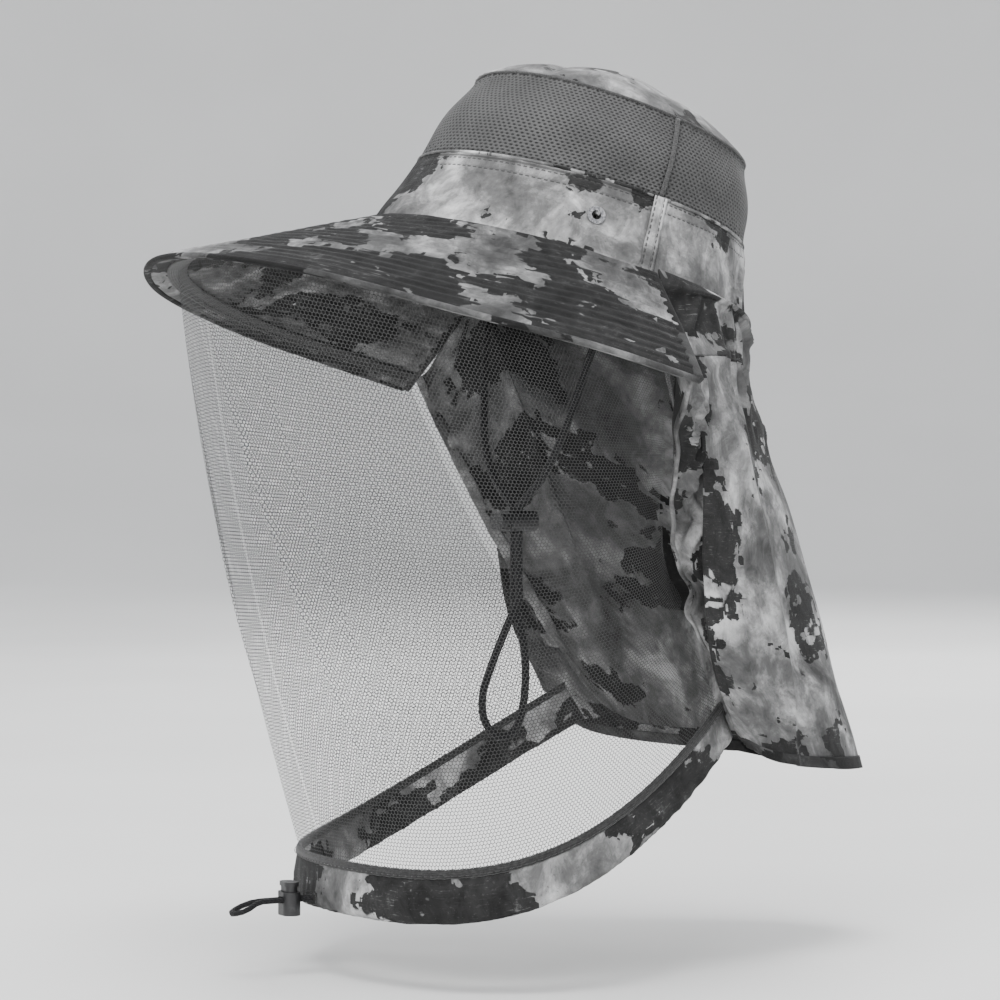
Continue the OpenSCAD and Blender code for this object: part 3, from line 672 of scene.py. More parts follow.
# ---- Side seam tapes and eyelets ----
# A strip of the print covers each side seam of the bands, topstitched along both edges. Ahead of it a plated
# brass eyelet is clinched on its washer, for air.
TAPE_TURN = 2.3
side_print = camo_finish("camo_side_tape", 1.1, 5.2, -0.05, stitches=(1.0, 5.6))
for side, word in ((1, "left"), (-1, "right")):
    strip = sew(f"side_seam_tape_{word}",
                lambda h, a: crown_at(a, h, 1.0 + 0.5 * np.cos((a - SIDE_SEAM * side) / 2.6 * np.pi / 2)),
                np.linspace(0.5, BAND_H - 0.4, 30),
                np.linspace(SIDE_SEAM * side - TAPE_TURN, SIDE_SEAM * side + TAPE_TURN, 9)[::side], thick=0.7,
                fold=lambda h, a, p: 0.25 * rumple(p, 8, 15))
    belongs(strip, "hat", "camo_cloth", side_print, *(["side_seam_tapes"] if side > 0 else []))
    ridge_route = [mesh_at(SIDE_SEAM * side, t) + pushed(SIDE_SEAM * side, 0.8 + 2.6 * math.sin(math.pi * t))
                   for t in np.linspace(0, 1, 30)]
    mesh_ridge = sweep(f"mesh_side_seam_{word}", ridge_route, ring(2.6, 1.6, 8), turned=[(0, 1, 0)] * 30)
    belongs(mesh_ridge, "hat", "air_mesh", top_ridge_finish)


def plated_finish():
    f = Finish("plated_eyelet", roughness=0.28, Metallic=1.0)
    wear = f.clouds(f.place(), 900, 4, 0.6)
    f.set(Base_Color=f.shades(wear, (0.3, (0.34, 0.34, 0.35)), (0.7, (0.66, 0.66, 0.67))),
          Roughness=f.ramp(wear, 0.3, 0.8) * 0.3 + 0.22, Normal=f.bump(wear, 0.06, 0.5))
    return f.material


def bevelled(node, width, finish):
    """Rounds a CAD node's edges and gives it its finish."""
    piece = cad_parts[node]
    bevel = piece.modifiers.new("rounding", "BEVEL")
    bevel.width, bevel.segments, bevel.limit_method = width * MM, 3, "ANGLE"
    bevel.use_clamp_overlap = True
    piece.data.materials.clear()
    piece.data.materials.append(finish)
    piece.data.polygons.foreach_set("use_smooth", [True] * len(piece.data.polygons))
    return piece


plated = plated_finish()
bevelled("side_eyelets", 0.3, plated)
bevelled("eyelet_washers", 0.15, plated)


# ---- Brim ----
# Two plies of the print over a thin foam sheet, quilted together with rows of stitching that follow the edge,
# wide in front and steeper at the sides. A folded bias strip binds the edge.
BRIM_FRONT, BRIM_SIDE = 114, 81
DROOP_FRONT, DROOP_SIDE = math.radians(27), math.radians(40)
BRIM_END, BRIM_GAP = 92, 1.3
PLY_OFF, PLY_T, FOAM_T, ROW = 1.5, 0.8, 1.4, 6.4


def brim_width(turn):
    c = np.cos(np.radians(turn))
    w = np.where(c > 0, c * c, 0)
    return BRIM_SIDE + (BRIM_FRONT - BRIM_SIDE) * w, DROOP_SIDE + (DROOP_FRONT - DROOP_SIDE) * w


def brim_at(turn, f, off):
    a, (width, droop), (nx, ny) = np.radians(turn), brim_width(turn), ring_outward(turn)
    out = BRIM_GAP + width * np.cos(droop) * f + off * np.sin(droop)
    return worn(point(HEAD_W / 2 * np.sin(a) + nx * out, -HEAD_L / 2 * np.cos(a) + ny * out,
                      -width * np.sin(droop) * f + off * np.cos(droop)))


def brim_folds(turn, f, p):
    rows = (1 - f) * brim_width(turn)[0] / ROW
    quilt = -np.cos(2 * np.pi * rows)
    quilt = np.sign(quilt) * abs(quilt) ** 0.6
    return 0.32 * quilt * (f > 0.04) * (f < 0.95) + brim_sway(p, f) + 0.35 * rumple(p, 14, 22)


def brim_sway(p, f):
    """The slow waves of the whole brim, which grow towards its edge."""
    return 2.0 * rumple(p, 80, 21) * f


def brim_up(turn, f):
    """The direction in which brim_folds moves the brim."""
    here = brim_at(turn, f, 0)
    return unit(np.cross(brim_at(turn + 0.1, f, 0) - here, brim_at(turn, f + 0.01, 0) - here))


def thinned(f, off):
    """The plies draw together towards the bound edge."""
    return off * (1 - 0.6 * np.clip((f - 0.93) / 0.07, 0, 1) ** 2)


brim_turns = np.linspace(-BRIM_END, BRIM_END, 260)
brim_shares = np.linspace(0, 1, 110)
# The plies' copies of the print are darkened with shade, 0.68 above and 0.6 below: painted shade on the brim, deeper on
# its underside.
for name, off, shade, seed, dark in (("brim_upper", PLY_OFF, 0.68, 3.1, 0.095),
                                     ("brim_lower", -PLY_OFF, 0.6, 4.6, 0.06)):
    ply = sew(name, lambda a, f, off=off: brim_at(a, f, thinned(f, off)), brim_turns, brim_shares, thick=PLY_T,
              fold=brim_folds)
    belongs(ply, "hat", "camo_cloth", camo_finish("camo_" + name, shade, seed, dark), name)


def foam_finish():
    f = Finish("brim_foam", roughness=0.9)
    cells = f.node("ShaderNodeTexVoronoi", None, f.place(), Scale=900.0)
    f.set(Base_Color=f.blend(cells, (0.8, 0.8, 0.78), (0.6, 0.6, 0.58)), Normal=f.bump(cells, 0.2, 0.5))
    return f.material


foam = sew("brim_stiffener", lambda a, f: brim_at(a, f, 0), brim_turns[::2] * 0.985, brim_shares[::2] * 0.96,
           thick=FOAM_T, fold=lambda a, f, p: brim_sway(p, f))
belongs(foam, "hat", "brim_foam", foam_finish(), "brim_stiffener")

# The stitches of the quilting lie in the grooves, on both faces.
STITCH, STITCH_GAP = 2.4, 1.1


def stitch_rows(name, lines, lift=0.25, size=0.45, dash=STITCH, gap=STITCH_GAP):
    """Short raised threads, dash long, along each line of points; each has six sides."""
    points, faces = [], []
    for line in lines:
        line = np.array(line, float)
        run = np.concatenate([[0], np.cumsum(np.linalg.norm(np.diff(line[:, :3], axis=0), axis=1))])
        starts = np.arange(0.4, run[-1] - dash, dash + gap)
        for s in starts:
            places = np.array([[np.interp(s + dash * t, run, line[:, k]) for k in range(6)] for t in (0, 0.5, 1)])
            centre, normal = places[:, :3], unit(places[:, 3:])
            ahead = unit(centre[2] - centre[0])
            side = unit(np.cross(ahead, normal[1]))
            rise = np.array([0.0, lift, 0.0])[:, None]
            base = len(points)
            for i in range(3):
                c = centre[i] + normal[i] * rise[i]
                r = size / 2 * (1.0 if i == 1 else 0.7)
                points += [c + side * r, c + normal[i] * r, c - side * r, c - normal[i] * r]
            faces += [(base + 4 * i + k, base + 4 * i + (k + 1) % 4, base + 4 * i + 4 + (k + 1) % 4,
                       base + 4 * i + 4 + k) for i in range(2) for k in range(4)]
            faces += [(base + 3, base + 2, base + 1, base), (base + 8, base + 9, base + 10, base + 11)]
    return new_piece(name, points, faces, [(p[0] * 3, p[2] * 3) for p in points])


def line_on(surface, us, vs, fold, above):
    """Points and normals along a line on a folded surface."""
    us, vs = np.broadcast_arrays(np.asarray(us, float), np.asarray(vs, float))
    e = 1e-3 * (max(abs(us).max(), 1))
    du = surface(us + e, vs) - surface(us - e, vs)
    dv = surface(us, vs + 1e-3) - surface(us, vs - 1e-3)
    n = unit(np.cross(du, dv))
    p = surface(us, vs)
    p = p + n * (fold(us, vs, p)[..., None] + above)
    return np.concatenate([p, n * np.sign(above)], axis=-1)


def thread_finish(name, shade):
    f = Finish(name, roughness=0.6, sheen=0.2)
    twist = f.clouds(f.scaled(f.uv(), 1.2), 1.0, 3, 0.6)
    f.set(Base_Color=f.shades(twist, (0.3, (shade * 0.6,) * 3), (0.7, (shade * 1.5,) * 3)),
          Normal=f.bump(twist, 0.1, 0.6))
    return f.material


dark_thread = thread_finish("dark_thread", 0.035)
grey_thread = thread_finish("grey_thread", 0.12)
quilt_turns = np.linspace(-BRIM_END + 0.5, BRIM_END - 0.5, 220)
for name, off, above in (("brim_upper_stitches", PLY_OFF, PLY_T / 2), ("brim_lower_stitches", -PLY_OFF, -PLY_T / 2)):
    lines = []
    for k in range(1, int(BRIM_FRONT / ROW)):
        share = 1 - k * ROW / brim_width(quilt_turns)[0]
        inside = share > 0.05
        for part in np.split(np.arange(len(share)), np.where(np.diff(inside.astype(int)))[0] + 1):
            if inside[part[0]] and len(part) > 4:
                lines.append(line_on(lambda a, f: brim_at(a, f, off), quilt_turns[part], share[part], brim_folds,
                                     above))
    rows = stitch_rows(name, lines)
    belongs(rows, "hat", "camo_cloth", dark_thread)

rim = []
for a in np.linspace(-BRIM_END, BRIM_END, 200):
    turn, width = np.array(a), float(brim_width(np.array(a))[0])
    sway = brim_up(turn, 1.0) * float(brim_sway(brim_at(turn, 1.0, 0.0), 1))
    rim.append([brim_at(turn, 1 + (0.7 + 2.2 * math.cos(t)) / width, 1.55 * math.sin(t)) + sway
                for t in np.arange(14) / 14 * 2 * np.pi])


def lofted(name, rows, ends=True):
    """A closed band through rows of points that each go once round."""
    rows = np.array(rows)
    n, sides = rows.shape[:2]
    middle = rows.mean(axis=1)
    along = np.concatenate([[0], np.cumsum(np.linalg.norm(np.diff(middle, axis=0), axis=1))])
    around = np.concatenate([[0], np.cumsum(np.linalg.norm(np.diff(rows[0], axis=0), axis=1))])
    uv = [(along[i], around[k]) for i in range(n) for k in range(sides)]
    faces = [(i * sides + k, (i + 1) * sides + k, (i + 1) * sides + (k + 1) % sides, i * sides + (k + 1) % sides)
             for i in range(n - 1) for k in range(sides)]
    if ends:
        faces += [tuple(range(sides)), tuple(reversed(range((n - 1) * sides, n * sides)))]
    return new_piece(name, rows.reshape(-1, 3), faces, uv)


brim_binding = lofted("brim_binding", rim)
# The binding's print is darkened to 0.38: painted shade along the brim's edge. The brim's end strips use it too.
binding_print_shaded = camo_finish("camo_binding", 0.38, 6.3, 0.05, size=0.8)
belongs(brim_binding, "hat", "camo_cloth", binding_print_shaded, "brim_binding")

# A strip of the print closes each end of the brim, where it is caught under the collar.
BRIM_END_STRIP = (6.2, 4.6, 14, 1.7)
for side, word in ((1, "left"), (-1, "right")):
    shares, turn = np.linspace(0, 1, 40), np.full(40, float(BRIM_END * side))
    end_line = brim_at(turn, shares, 0)
    end_line = end_line + brim_up(turn, shares) * brim_sway(end_line, shares)[:, None]
    strip = sweep(f"brim_end_{word}", end_line, ring(*BRIM_END_STRIP),
                  turned=end_line - brim_at(turn * 0.99, shares, 0))
    belongs(strip, "hat", "camo_cloth", binding_print_shaded)
edge_line = [line_on(lambda a, f: brim_at(a, f, thinned(f, PLY_OFF)), quilt_turns, np.full(len(quilt_turns), 0.975),
                     brim_folds, 0.5)]
belongs(stitch_rows("binding_stitches", edge_line), "hat", "camo_cloth", grey_thread)


# ---- Face net ----
# Fine hexagonal polyester netting with holes about 1.6 mm across, gathered onto a black tape under the brim
# and sewn to the rear panel's edges and the hem band. Here every hole is a real one.
NET_SHARE, NET_BELLY, NET_UNDER, TAPE_UNDER, FULLNESS = 0.88, 7, 3.6, 2.7, 1.12
NET_TOP_END, NET_FOOT_END = BRIM_END - 2, BAND_END
NET_PITCH, NET_OPEN = 1.92, 0.84


def edge_pull(u, v, spread):
    """How far the net and the rear panel are drawn in and forward along the seam between them."""
    pull = np.sin(np.pi * v) * abs(u) ** spread
    slack = (1.5 * np.sin(v * 19 + 2) + 1.2 * np.sin(v * 33 + 5 * u) + 0.8 * np.sin(v * 57 + 1)) * pull
    slack = slack * (0.65 + 0.35 * np.sin(v * 9 + 1))
    return point(np.sign(u) * (slack - 13 * pull), 0.8 * slack - 12 * pull, 0)


def net_at(u, v):
    """u from -1 at the right rear edge to 1 at the left one, v from 0 under the brim to 1 in the hem band."""
    top = brim_at(NET_TOP_END * u, NET_SHARE, -NET_UNDER)
    foot = hem_at(NET_FOOT_END * u, 0.6, 0)
    nx, ny = hem_outward(NET_FOOT_END * u)
    belly = NET_BELLY * np.sin(np.pi * v) * (1 - np.abs(u) ** 8)
    p = top + (foot - top) * v[..., None]
    lift = belly + net_folds(u, v) * np.sin(np.pi * v) ** 0.5
    return p + point(nx * lift, ny * lift, 0) + edge_pull(u, v, 8)


def net_folds(u, v):
    """Soft standing folds, and a few sharper ones that run down from the brim's front."""
    soft = 2.2 * np.sin(u * 19 + 2.5 * np.sin(v * 3 + u * 4)) * v * (1 - v) * 2.5
    total = soft
    for u0, lean, width, height in ((-0.02, 0.26, 0.012, 3.4), (0.10, 0.20, 0.010, -2.8), (-0.16, 0.10, 0.014, 3.0),
                                    (0.36, -0.12, 0.016, 2.6), (0.62, 0.08, 0.014, -2.4), (-0.5, 0.1, 0.016, 2.8)):
        d = u - u0 - lean * v
        total = total + height * np.exp(-abs(d) / width) * np.sin(np.pi * np.clip(v * 1.1, 0, 1)) ** 0.6
    return total


def netting(name, u_from, u_to):
    """Honeycomb of threads: each cell's six inner corners, joined to the neighbours' across the threads."""
    edge = net_at(np.linspace(u_from, u_to, 60), np.full(60, 0.5))
    width, height = length_of(edge), length_of(net_at(np.full(60, (u_from + u_to) / 2), np.linspace(0, 1, 60)))
    cols, rows = round(width / NET_PITCH), round(height / (NET_PITCH * math.sqrt(3) / 2))
    i, j = np.meshgrid(np.arange(cols), np.arange(rows))
    centre_x, centre_y = i + 0.5 * (j % 2) + 0.25, j * math.sqrt(3) / 2 + 0.5
    corners = np.radians([90, 30, -30, -90, -150, 150])
    radius = NET_OPEN / math.sqrt(3)
    x = (centre_x[..., None] + radius * np.cos(corners)) / (cols + 0.25)
    y = (centre_y[..., None] + radius * np.sin(corners)) / (rows * math.sqrt(3) / 2 + 0.3)
    u, v = u_from + (u_to - u_from) * np.clip(x, 0, 1), np.clip(y, 0, 1)
    points = net_at(u, v).reshape(-1, 3)

    def corner(cell_i, cell_j, k):
        return (cell_j * cols + cell_i) * 6 + k

    odd = j % 2
    faces = []
    for quad, step_i, step_j in ((((0, 1), (0, 2), (1, 4), (1, 5)), 1 + 0 * odd, 0 * odd),
                                 (((0, 0), (0, 1), (1, 3), (1, 4)), odd, 1 + 0 * odd),
                                 (((0, 5), (0, 0), (1, 2), (1, 3)), odd - 1, 1 + 0 * odd)):
        ni, nj = i + step_i, j + step_j
        good = (ni >= 0) & (ni < cols) & (nj < rows)
        faces += np.stack([corner(np.where(w, ni, i), np.where(w, nj, j), k)[good] for w, k in quad], -1).tolist()
    for (step_i, k_side), (up_i, k_up), k_own in (((1, 5), (odd, 3), 1), ((None, 2), (odd, 4), 0)):
        if step_i is None:
            ni, nj = i + odd - 1, j + 1
        else:
            ni, nj = i + 1, j
        ui, uj = i + up_i, j + 1
        good = (ni >= 0) & (ni < cols) & (nj < rows) & (ui < cols) & (uj < rows)
        faces += np.stack([corner(i, j, k_own)[good], corner(ni, nj, k_side)[good], corner(ui, uj, k_up)[good]],
                          -1).tolist()
    uv = np.stack([u * width, v * height], axis=-1).reshape(-1, 2)
    piece = new_piece(name, points, faces, uv)
    return piece


def net_finish():
    f = Finish("face_mesh", roughness=0.62, sheen=0.03)
    lint = f.clouds(f.scaled(f.uv(), 0.02, 0.012), 1.0, 3, 0.6)
    twist = f.clouds(f.scaled(f.uv(), 1.5), 1.0, 2, 0.5)
    f.set(Base_Color=f.shades(lint * 0.6 + twist * 0.4, (0.35, (0.035,) * 3), (0.65, (0.07,) * 3)),
          Normal=f.bump(twist, 0.1, 0.6))
    return f.material


face_mesh = net_finish()
for k, (name, u_from, u_to) in enumerate((("face_net_right", -1, 0), ("face_net_left", 0, 1))):
    net = netting(name, u_from, u_to)
    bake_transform(net)
    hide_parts(*(["face_net"] if k == 0 else []))
    net.data.materials.append(face_mesh)

veil_tape = sew("veil_tape", lambda a, f: brim_at(a, f, -TAPE_UNDER), np.linspace(-BRIM_END + 1, BRIM_END - 1, 180),
                np.linspace(NET_SHARE - 0.045, NET_SHARE + 0.045, 8), thick=0.7,
                fold=lambda a, f, p: brim_sway(p, f) + 0.2 * np.sin(np.radians(a) * 150))
belongs(veil_tape, "hat", "black_webbing", webbing, "veil_tape")


# ---- Rear panel ----
# A panel of the print inside the cape closes the veil behind the head. Its front edges are bound with a
# lighter bias strip, the net is caught under the binding, and it hangs in soft upright folds.
PANEL_TURN, SEAM_SHARE, NAPE_Z, PANEL_UNDER = 123, 0.3, -232, 2.6


def panel_top(u):
    s, side = abs(u), np.where(u < 0, -1.0, 1.0)
    k = (s - 1 + SEAM_SHARE) / SEAM_SHARE
    under = brim_at(BRIM_END * side, NET_SHARE * k, -PANEL_UNDER)
    under = under + brim_up(BRIM_END * side, NET_SHARE * k) * brim_sway(under, NET_SHARE * k)[..., None]
    under = point(under[..., 0] * side, under[..., 1] + 2 * k, under[..., 2])
    behind = crown_at(180 - (180 - BRIM_END) * s / (1 - SEAM_SHARE), -3.0 + 0 * s, 0)
    p = np.where((k > 0)[..., None], under, behind)
    return point(p[..., 0] * side, p[..., 1], p[..., 2])


def panel_at(u, v):
    turn = 180 - (180 - PANEL_TURN) * u
    x, y = hem_plan(turn)
    foot = point(x, y, NAPE_Z + (float(hem_z(PANEL_TURN)) - NAPE_Z) * abs(u) ** 8)
    top = panel_top(u)
    return top + (foot - top) * v[..., None] + edge_pull(u, v, 4)


def panel_folds(u, v, p):
    upright = 3.2 * np.sin(u * 9 + 1.5 * np.sin(v * 4)) * np.sin(np.pi * v) ** 0.8 * (1 - u ** 8)
    slanting = 2.6 * crease(p, 80, 31, (1, 1, 0.45)) * np.sin(np.pi * v) * (1 - u ** 10)
    near_edge = np.clip((abs(u) - 0.7) / 0.3, 0, 1)
    ruffle = (2.4 * np.sin(v * 30 + 5 * np.sin(v * 7 + u * 2)) + 3.6 * crease(p, 30, 34)) * near_edge
    return upright + slanting + ruffle * (1 - np.abs(u) ** 40) + 2.2 * rumple(p, 26, 32)


# The rear panel's print is darkened to 0.62: painted shade, for the panel hanging inside the cape and behind the net.
inner_print_shaded = camo_finish("camo_inner", 0.62, 7.7, -0.015)
rear_panel = sew("rear_panel", panel_at, np.linspace(-1, 1, 200), np.linspace(0, 1, 110), fold=panel_folds)
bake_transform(rear_panel)
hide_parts("rear_panel")
rear_panel.data.materials.append(inner_print_shaded)

edging_print = camo_finish("camo_panel_binding", 0.95, 8.4, -0.03, size=0.5)
for k, (side, word) in enumerate(((1, "left"), (-1, "right"))):
    vs = np.linspace(0.004, 0.995, 120)
    edge = panel_at(np.full(120, float(side)), vs)
    wobble = rumple(edge, 16, 33)
    inward = unit(panel_at(np.full(120, side * 0.97), vs) - edge)
    route = edge + inward * (1.2 + wobble[:, None] * 0.6)
    outline = np.repeat(ring(6.0, 2.0, 12, 1.5)[None], 120, axis=0) * (1 + 0.22 * wobble)[:, None, None]
    binding = sweep(f"panel_binding_{word}", route, outline, turned=inward)
    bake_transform(binding)
    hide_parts(*(["panel_bindings"] if k == 0 else []))
    binding.data.materials.append(edging_print)


# ---- Hem band ----
# A strip of the print folded double round the foot of the net, with the drawcord in the fold. A black bias
# tape closes its upper edge, and the cloth gathers slightly along the cord.
def hem_profile(s):
    """Once round the folded strip: out and up from its top edge, for s from 0 to 1."""
    places = np.array([(1.1, 0), (1.9, -6), (2.6, -13), (2.9, -18), (2.6, -21), (1.4, -22.7), (0, -23.2), (-1.4, -22.7),
                       (-2.6, -21), (-2.9, -18), (-2.6, -13), (-1.9, -6), (-1.1, 0), (0, 0.6)])
    k = s * (len(places) - 1)
    return np.interp(k, np.arange(len(places)), places[:, 0]), np.interp(k, np.arange(len(places)), places[:, 1])


hem_rows = []
for turn in np.linspace(-BAND_END, BAND_END, 260):
    row = []
    for s in np.linspace(0, 1, 29)[:-1]:
        out, up = hem_profile(s)
        at = hem_at(turn, up, out)
        low = min(1.0, -up / HEM_H) if up < 0 else 0
        gather = 0.55 * math.sin(math.radians(turn) * 95 + 5 * math.sin(turn / 7)) * low
        soft = 2.2 * noise.noise(Vector(at / 19)) * low + 1.1 * noise.noise(Vector(at / 7)) * low
        side = 1 if out >= 0 else -1
        drop = 0.5 * noise.noise(Vector((turn / 6, 3, 1))) * low
        row.append(hem_at(turn * (1 + BAND_SLANT * low), up + drop, out + side * (gather + soft) * 0.8))
    hem_rows.append(row)
hem_band = lofted("hem_band", hem_rows)
belongs(hem_band, "hem", "camo_cloth", camo_finish("camo_hem", 1.05, 9.3), "hem_band")

tape_rows = []
for turn in np.linspace(-BAND_END, BAND_END, 260):
    ripple = 0.25 * math.sin(math.radians(turn) * 120)
    tape_rows.append([hem_at(turn, up + ripple * 0.5, out) for out, up in
                      ((1.7, -1.6), (1.9, -0.4), (1.6, 1.4), (0.9, 2.3), (0, 2.6), (-0.9, 2.3), (-1.6, 1.4),
                       (-1.9, -0.4), (-1.7, -1.6), (-1.2, -1.4), (0, 0.4), (1.2, -1.4))])
hem_binding = lofted("hem_binding", tape_rows)
belongs(hem_binding, "hem", "black_webbing", webbing, "hem_binding")

stitch_turns = np.linspace(-BAND_END + 1, BAND_END - 1, 240)
lines = []
for out in (2.35, -2.35):
    normals = np.stack(hem_outward(stitch_turns) + (0 * stitch_turns,), axis=-1) * np.sign(out)
    lines.append(np.concatenate([hem_at(stitch_turns, -0.4, out), normals], axis=-1))
belongs(stitch_rows("hem_binding_stitches", lines, lift=0.12, size=0.4), "hem", "black_webbing", dark_thread)


# ---- Buttonhole ----
# The drawcord comes out through one worked buttonhole in the hem band: tight upright stitches all round a
# slot that is as wide as both runs of the cord.
HOLE_W, HOLE_H = 14, 5
hole_middle = np.array([EXIT_X, exit_y - CHANNEL_R - 0.9, exit_z])
loops = []
for t in np.linspace(0, 2 * np.pi, 64, endpoint=False):
    half = (HOLE_W - HOLE_H) / 2
    c, s = math.cos(t), math.sin(t)
    x0 = half * np.clip(c * 2.2, -1, 1)
    inner, outer = HOLE_H / 2 - 0.2, HOLE_H / 2 + 1.5
    loops.append([(hole_middle + np.array([x0 + c * r, -0.35 * math.sin(np.pi * k), s * r])).tolist() + [0, -1, 0]
                  for k, r in zip((0, 0.5, 1), (inner, (inner + outer) / 2, outer))])
buttonhole = stitch_rows("buttonhole_stitching", loops, lift=0.2, size=0.5, dash=0.9, gap=5)
belongs(buttonhole, "hem", "black_webbing", dark_thread, "buttonhole_stitching")


# ---- Cord locks ----
# Two spring cord locks in black acetal, a larger one on the chin cord and a small one on the drawcord: a
# barrel, a button with a slot across it, and a steel spring under the button.
def acetal_finish():
    f = Finish("moulded_acetal", roughness=0.42)
    grain = f.clouds(f.place(), 2600, 3, 0.6)
    scuff = f.ramp(f.clouds(f.place(), 260, 5, 0.7), 0.55, 0.75)
    f.set(Base_Color=f.blend(scuff * 0.5, (0.014, 0.014, 0.015), (0.06, 0.06, 0.06)),
          Roughness=0.36 + scuff * 0.3, Normal=f.bump(grain, 0.05, 0.6))
    return f.material


def spring_finish():
    f = Finish("spring_steel", roughness=0.3, Metallic=1.0)
    drawn = f.clouds(f.place(), 1500, 2, 0.5)
    f.set(Base_Color=f.shades(drawn, (0.3, (0.35,) * 3), (0.7, (0.6,) * 3)), Roughness=drawn * 0.3 + 0.2)
    return f.material


acetal, spring_steel = acetal_finish(), spring_finish()
for lock in ("chin_lock", "hem_lock"):
    for part in ("_body", "_button"):
        bevelled(lock + part, 0.5, acetal)
    spring_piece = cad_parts[lock + "_spring"]
    spring_piece.data.materials.clear()
    spring_piece.data.materials.append(spring_steel)


# ---- Neck cape ----
# A wide panel of the print hung from the back of the crown: a gathered collar strip at the top, the cape
# itself in loose folds, and a dark hem turned up round its lower edge.
CAPE_SIDE = np.array([(88, 8, -8), (97, 17, -46), (102, 20, -88), (101, 22, -136), (96, 30, -184), (88, 52, -232)],
                     float)
CAPE_BACK = np.array([(0, 100, -33), (0, 102, -57), (0, 116, -99), (0, 135, -146), (0, 154, -196), (0, 172, -254)],
                     float)
CAPE_CORNER, COLLAR_SHARE = 16, 0.16


def along(route, t):
    k = np.clip(t, 0, 1) * (len(route) - 1)
    return point(*[np.interp(k, np.arange(len(route)), route[:, c]) for c in range(3)])


smooth_side, smooth_back = curve(CAPE_SIDE, 8), curve(CAPE_BACK, 8)


def cape_at(u, v):
    side, back = along(smooth_side, v), along(smooth_back, v)
    s, c = np.sin(np.pi / 2 * u), np.cos(np.pi / 2 * u)
    c = c * (1 - 0.45 * np.clip(5 * v, 0, 1) * (1 - c))
    lift = CAPE_CORNER * np.abs(u) ** 6 * v ** 4
    rounded = 7 * (np.abs(u) * np.maximum(v, 0)) ** 24
    return point(side[..., 0] * s, side[..., 1] + (back[..., 1] - side[..., 1]) * c + rounded,
                 back[..., 2] + (side[..., 2] - 10 * v - back[..., 2]) * np.abs(s) ** 1.5 + lift)


def cape_folds(u, v, p):
    near = np.clip(1 - v / 0.45, 0, 1)
    sewn = np.clip(v / 0.05, 0, 1) ** 0.7
    gathers = (2.2 * np.sin(u * 40 + 3 * np.sin(u * 11) + v * 6) + 4.4 * crease(p, 22, 43, (1, 1, 0.6))
               + 2.4 * rumple(p, 13, 45) - 3.0) * near * sewn
    hugging = -2.0 * np.clip(1 - v / 0.12, 0, 1) * (v >= 0)
    upright = 4.0 * np.sin(u * 7.5 + 0.8 * np.sin(v * 5) + 0.4) * np.maximum(v, 0) ** 0.8 * (1 - 0.4 * v)
    ridges = 3.4 * crease(p, 95, 41, (1, 1, 0.3)) * np.clip(v * 3, 0, 1)
    return gathers + hugging + upright + ridges + 2.4 * rumple(p, 34, 42) * np.clip(v * 4, 0, 1)


def collar_at(u, v):
    """Above v = 0 the collar runs up behind the crown's lower edge, where it is sewn."""
    tuck = np.clip(-v / 0.03, 0, 1)[..., None]
    return cape_at(u, np.maximum(v, 0)) * (1 - tuck) + crown_at(180 - 86 * u, 4.0, 1.2) * tuck


cape_print = camo_finish("camo_cape", 1.0, 10.9, 0.01)
cape_us = np.linspace(-1, 1, 240)


def cape_piece(piece, slot, finish, *nodes):
    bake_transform(piece)
    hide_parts(*nodes)
    piece.data.materials.append(finish)


collar = sew("cape_collar", collar_at, cape_us, np.linspace(-0.03, COLLAR_SHARE, 36), thick=1.0,
             fold=cape_folds)
cape_piece(collar, "camo_cloth", camo_finish("camo_collar", 1.15, 11.8), "cape_collar")
cape = sew("neck_cape", cape_at, cape_us, np.linspace(COLLAR_SHARE - 0.004, 0.985, 130), fold=cape_folds)
cape_piece(cape, "camo_cloth", cape_print, "neck_cape")
cape_hem = sew("cape_hem", cape_at, cape_us, np.linspace(0.966, 1, 8), thick=2.0, fold=cape_folds)
cape_piece(cape_hem, "camo_dark_cloth", camo_finish("camo_hem_turned", 0.22, 12.2), "cape_hem")
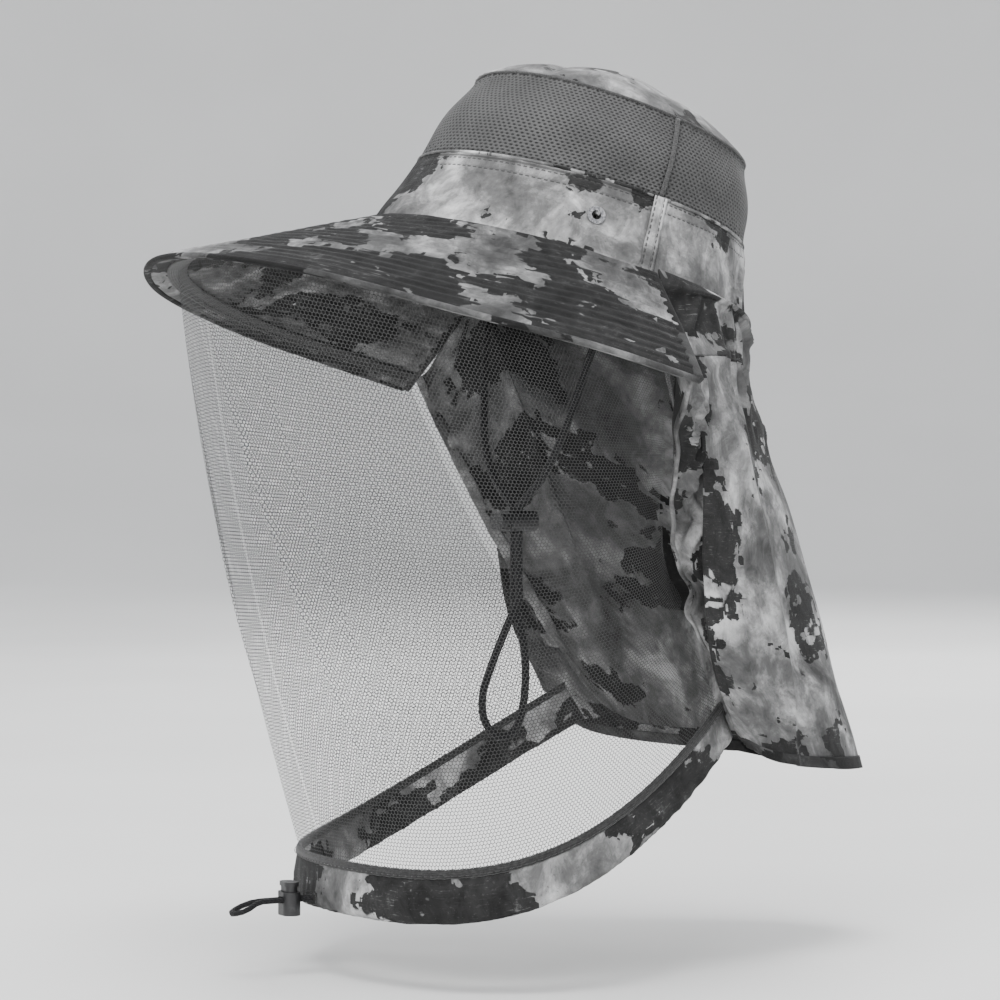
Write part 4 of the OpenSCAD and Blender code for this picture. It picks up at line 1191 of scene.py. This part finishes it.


# ---- Gathered edges ----
# Behind each front edge of the rear panel a narrow strip of the print is drawn up on its thread, so that it
# stands out in small sharp crumples and fills the gap between the panel and the cape.
# The strips' print is darkened to 0.75: painted shade, for the strips lying in the gap between the panel and the cape.
gathered_print_shaded = camo_finish("camo_gathered", 0.75, 5.2, size=0.6)
for side, word in ((1, "left"), (-1, "right")):
    def gathered_at(w, v, side=side):
        near = panel_at(np.full(np.shape(v), float(side)), 0.02 + 0.88 * v)
        down = -near[..., 2]
        far = point(side * (np.interp(down, -CAPE_SIDE[:, 2], CAPE_SIDE[:, 0]) - 4),
                    np.interp(down, -CAPE_SIDE[:, 2], CAPE_SIDE[:, 1]) + 13, near[..., 2])
        return near + (far - near) * w[..., None]

    def gathered_folds(w, v, p, side=side):
        across = np.sin(np.pi * np.clip(w, 0, 1)) * np.clip(np.sin(np.pi * v), 0, 1) ** 0.4
        pleats = 1.5 * np.sin(w * 15 + 2.5 * np.sin(v * 23) + 4 * rumple(p, 30, 53))
        return -side * across * (1.0 + 3.4 * crease(p, 15, 51, (1, 1, 0.7)) + 2.4 * rumple(p, 9, 52) + pleats)

    strip = sew(f"gathered_edge_{word}", gathered_at, np.linspace(0, 1, 26), np.linspace(0, 1, 190), thick=0.6,
                fold=gathered_folds)
    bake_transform(strip)
    strip.data.materials.append(gathered_print_shaded)


# ---- Floor, backdrop and light ----
# A pale, shallow bowl stands for floor and backdrop from every side, under three large soft lamps.
FLOOR_Z = cad_low.z - 0.03
turns_round, rows = 96, [(0.0002, 0), (2.6, 0), (3.4, 0.04), (4.2, 0.35), (4.7, 0.95), (4.9, 1.8), (4.95, 3.2)]
bowl_points = [(r * math.cos(2 * math.pi * k / turns_round) / MM, r * math.sin(2 * math.pi * k / turns_round) / MM,
                (FLOOR_Z + z) / MM) for r, z in rows for k in range(turns_round)]
bowl_faces = [(i * turns_round + k, i * turns_round + (k + 1) % turns_round,
               (i + 1) * turns_round + (k + 1) % turns_round, (i + 1) * turns_round + k)
              for i in range(len(rows) - 1) for k in range(turns_round)]
bowl = new_piece("floor_and_backdrop", bowl_points, bowl_faces, [(p[0], p[1]) for p in bowl_points])
paper = Finish("pale_floor", roughness=0.9)
paper.set(Base_Color=paper.shades(paper.clouds(paper.place(), 3.0, 2), (0.3, (0.78, 0.78, 0.77)),
                                  (0.7, (0.82, 0.82, 0.81))))
bowl.data.materials.append(paper.material)


def lamp(name, place, size, power):
    made = bpy.data.objects.new(name, bpy.data.lights.new(name, "AREA"))
    made.data.size, made.data.energy = size, power
    made.location = place
    made.rotation_mode = "QUATERNION"
    made.rotation_quaternion = (Vector((0, 0, -0.12)) - Vector(place)).to_track_quat("-Z", "Y")
    bpy.context.scene.collection.objects.link(made)


# Three soft lamps, with their places in metres and their power in watts.
lamp("overhead", (0.6, -0.6, 2.4), 1.6, 95)
lamp("front_left", (1.9, -1.9, 1.0), 1.4, 62)
lamp("behind", (-1.6, 1.8, 1.2), 1.6, 50)
world = bpy.data.worlds.new("room")
world.use_nodes = True
world.node_tree.nodes["Background"].inputs[0].default_value = (0.92, 0.94, 1.0, 1)
world.node_tree.nodes["Background"].inputs[1].default_value = 0.7
bpy.context.scene.world = world
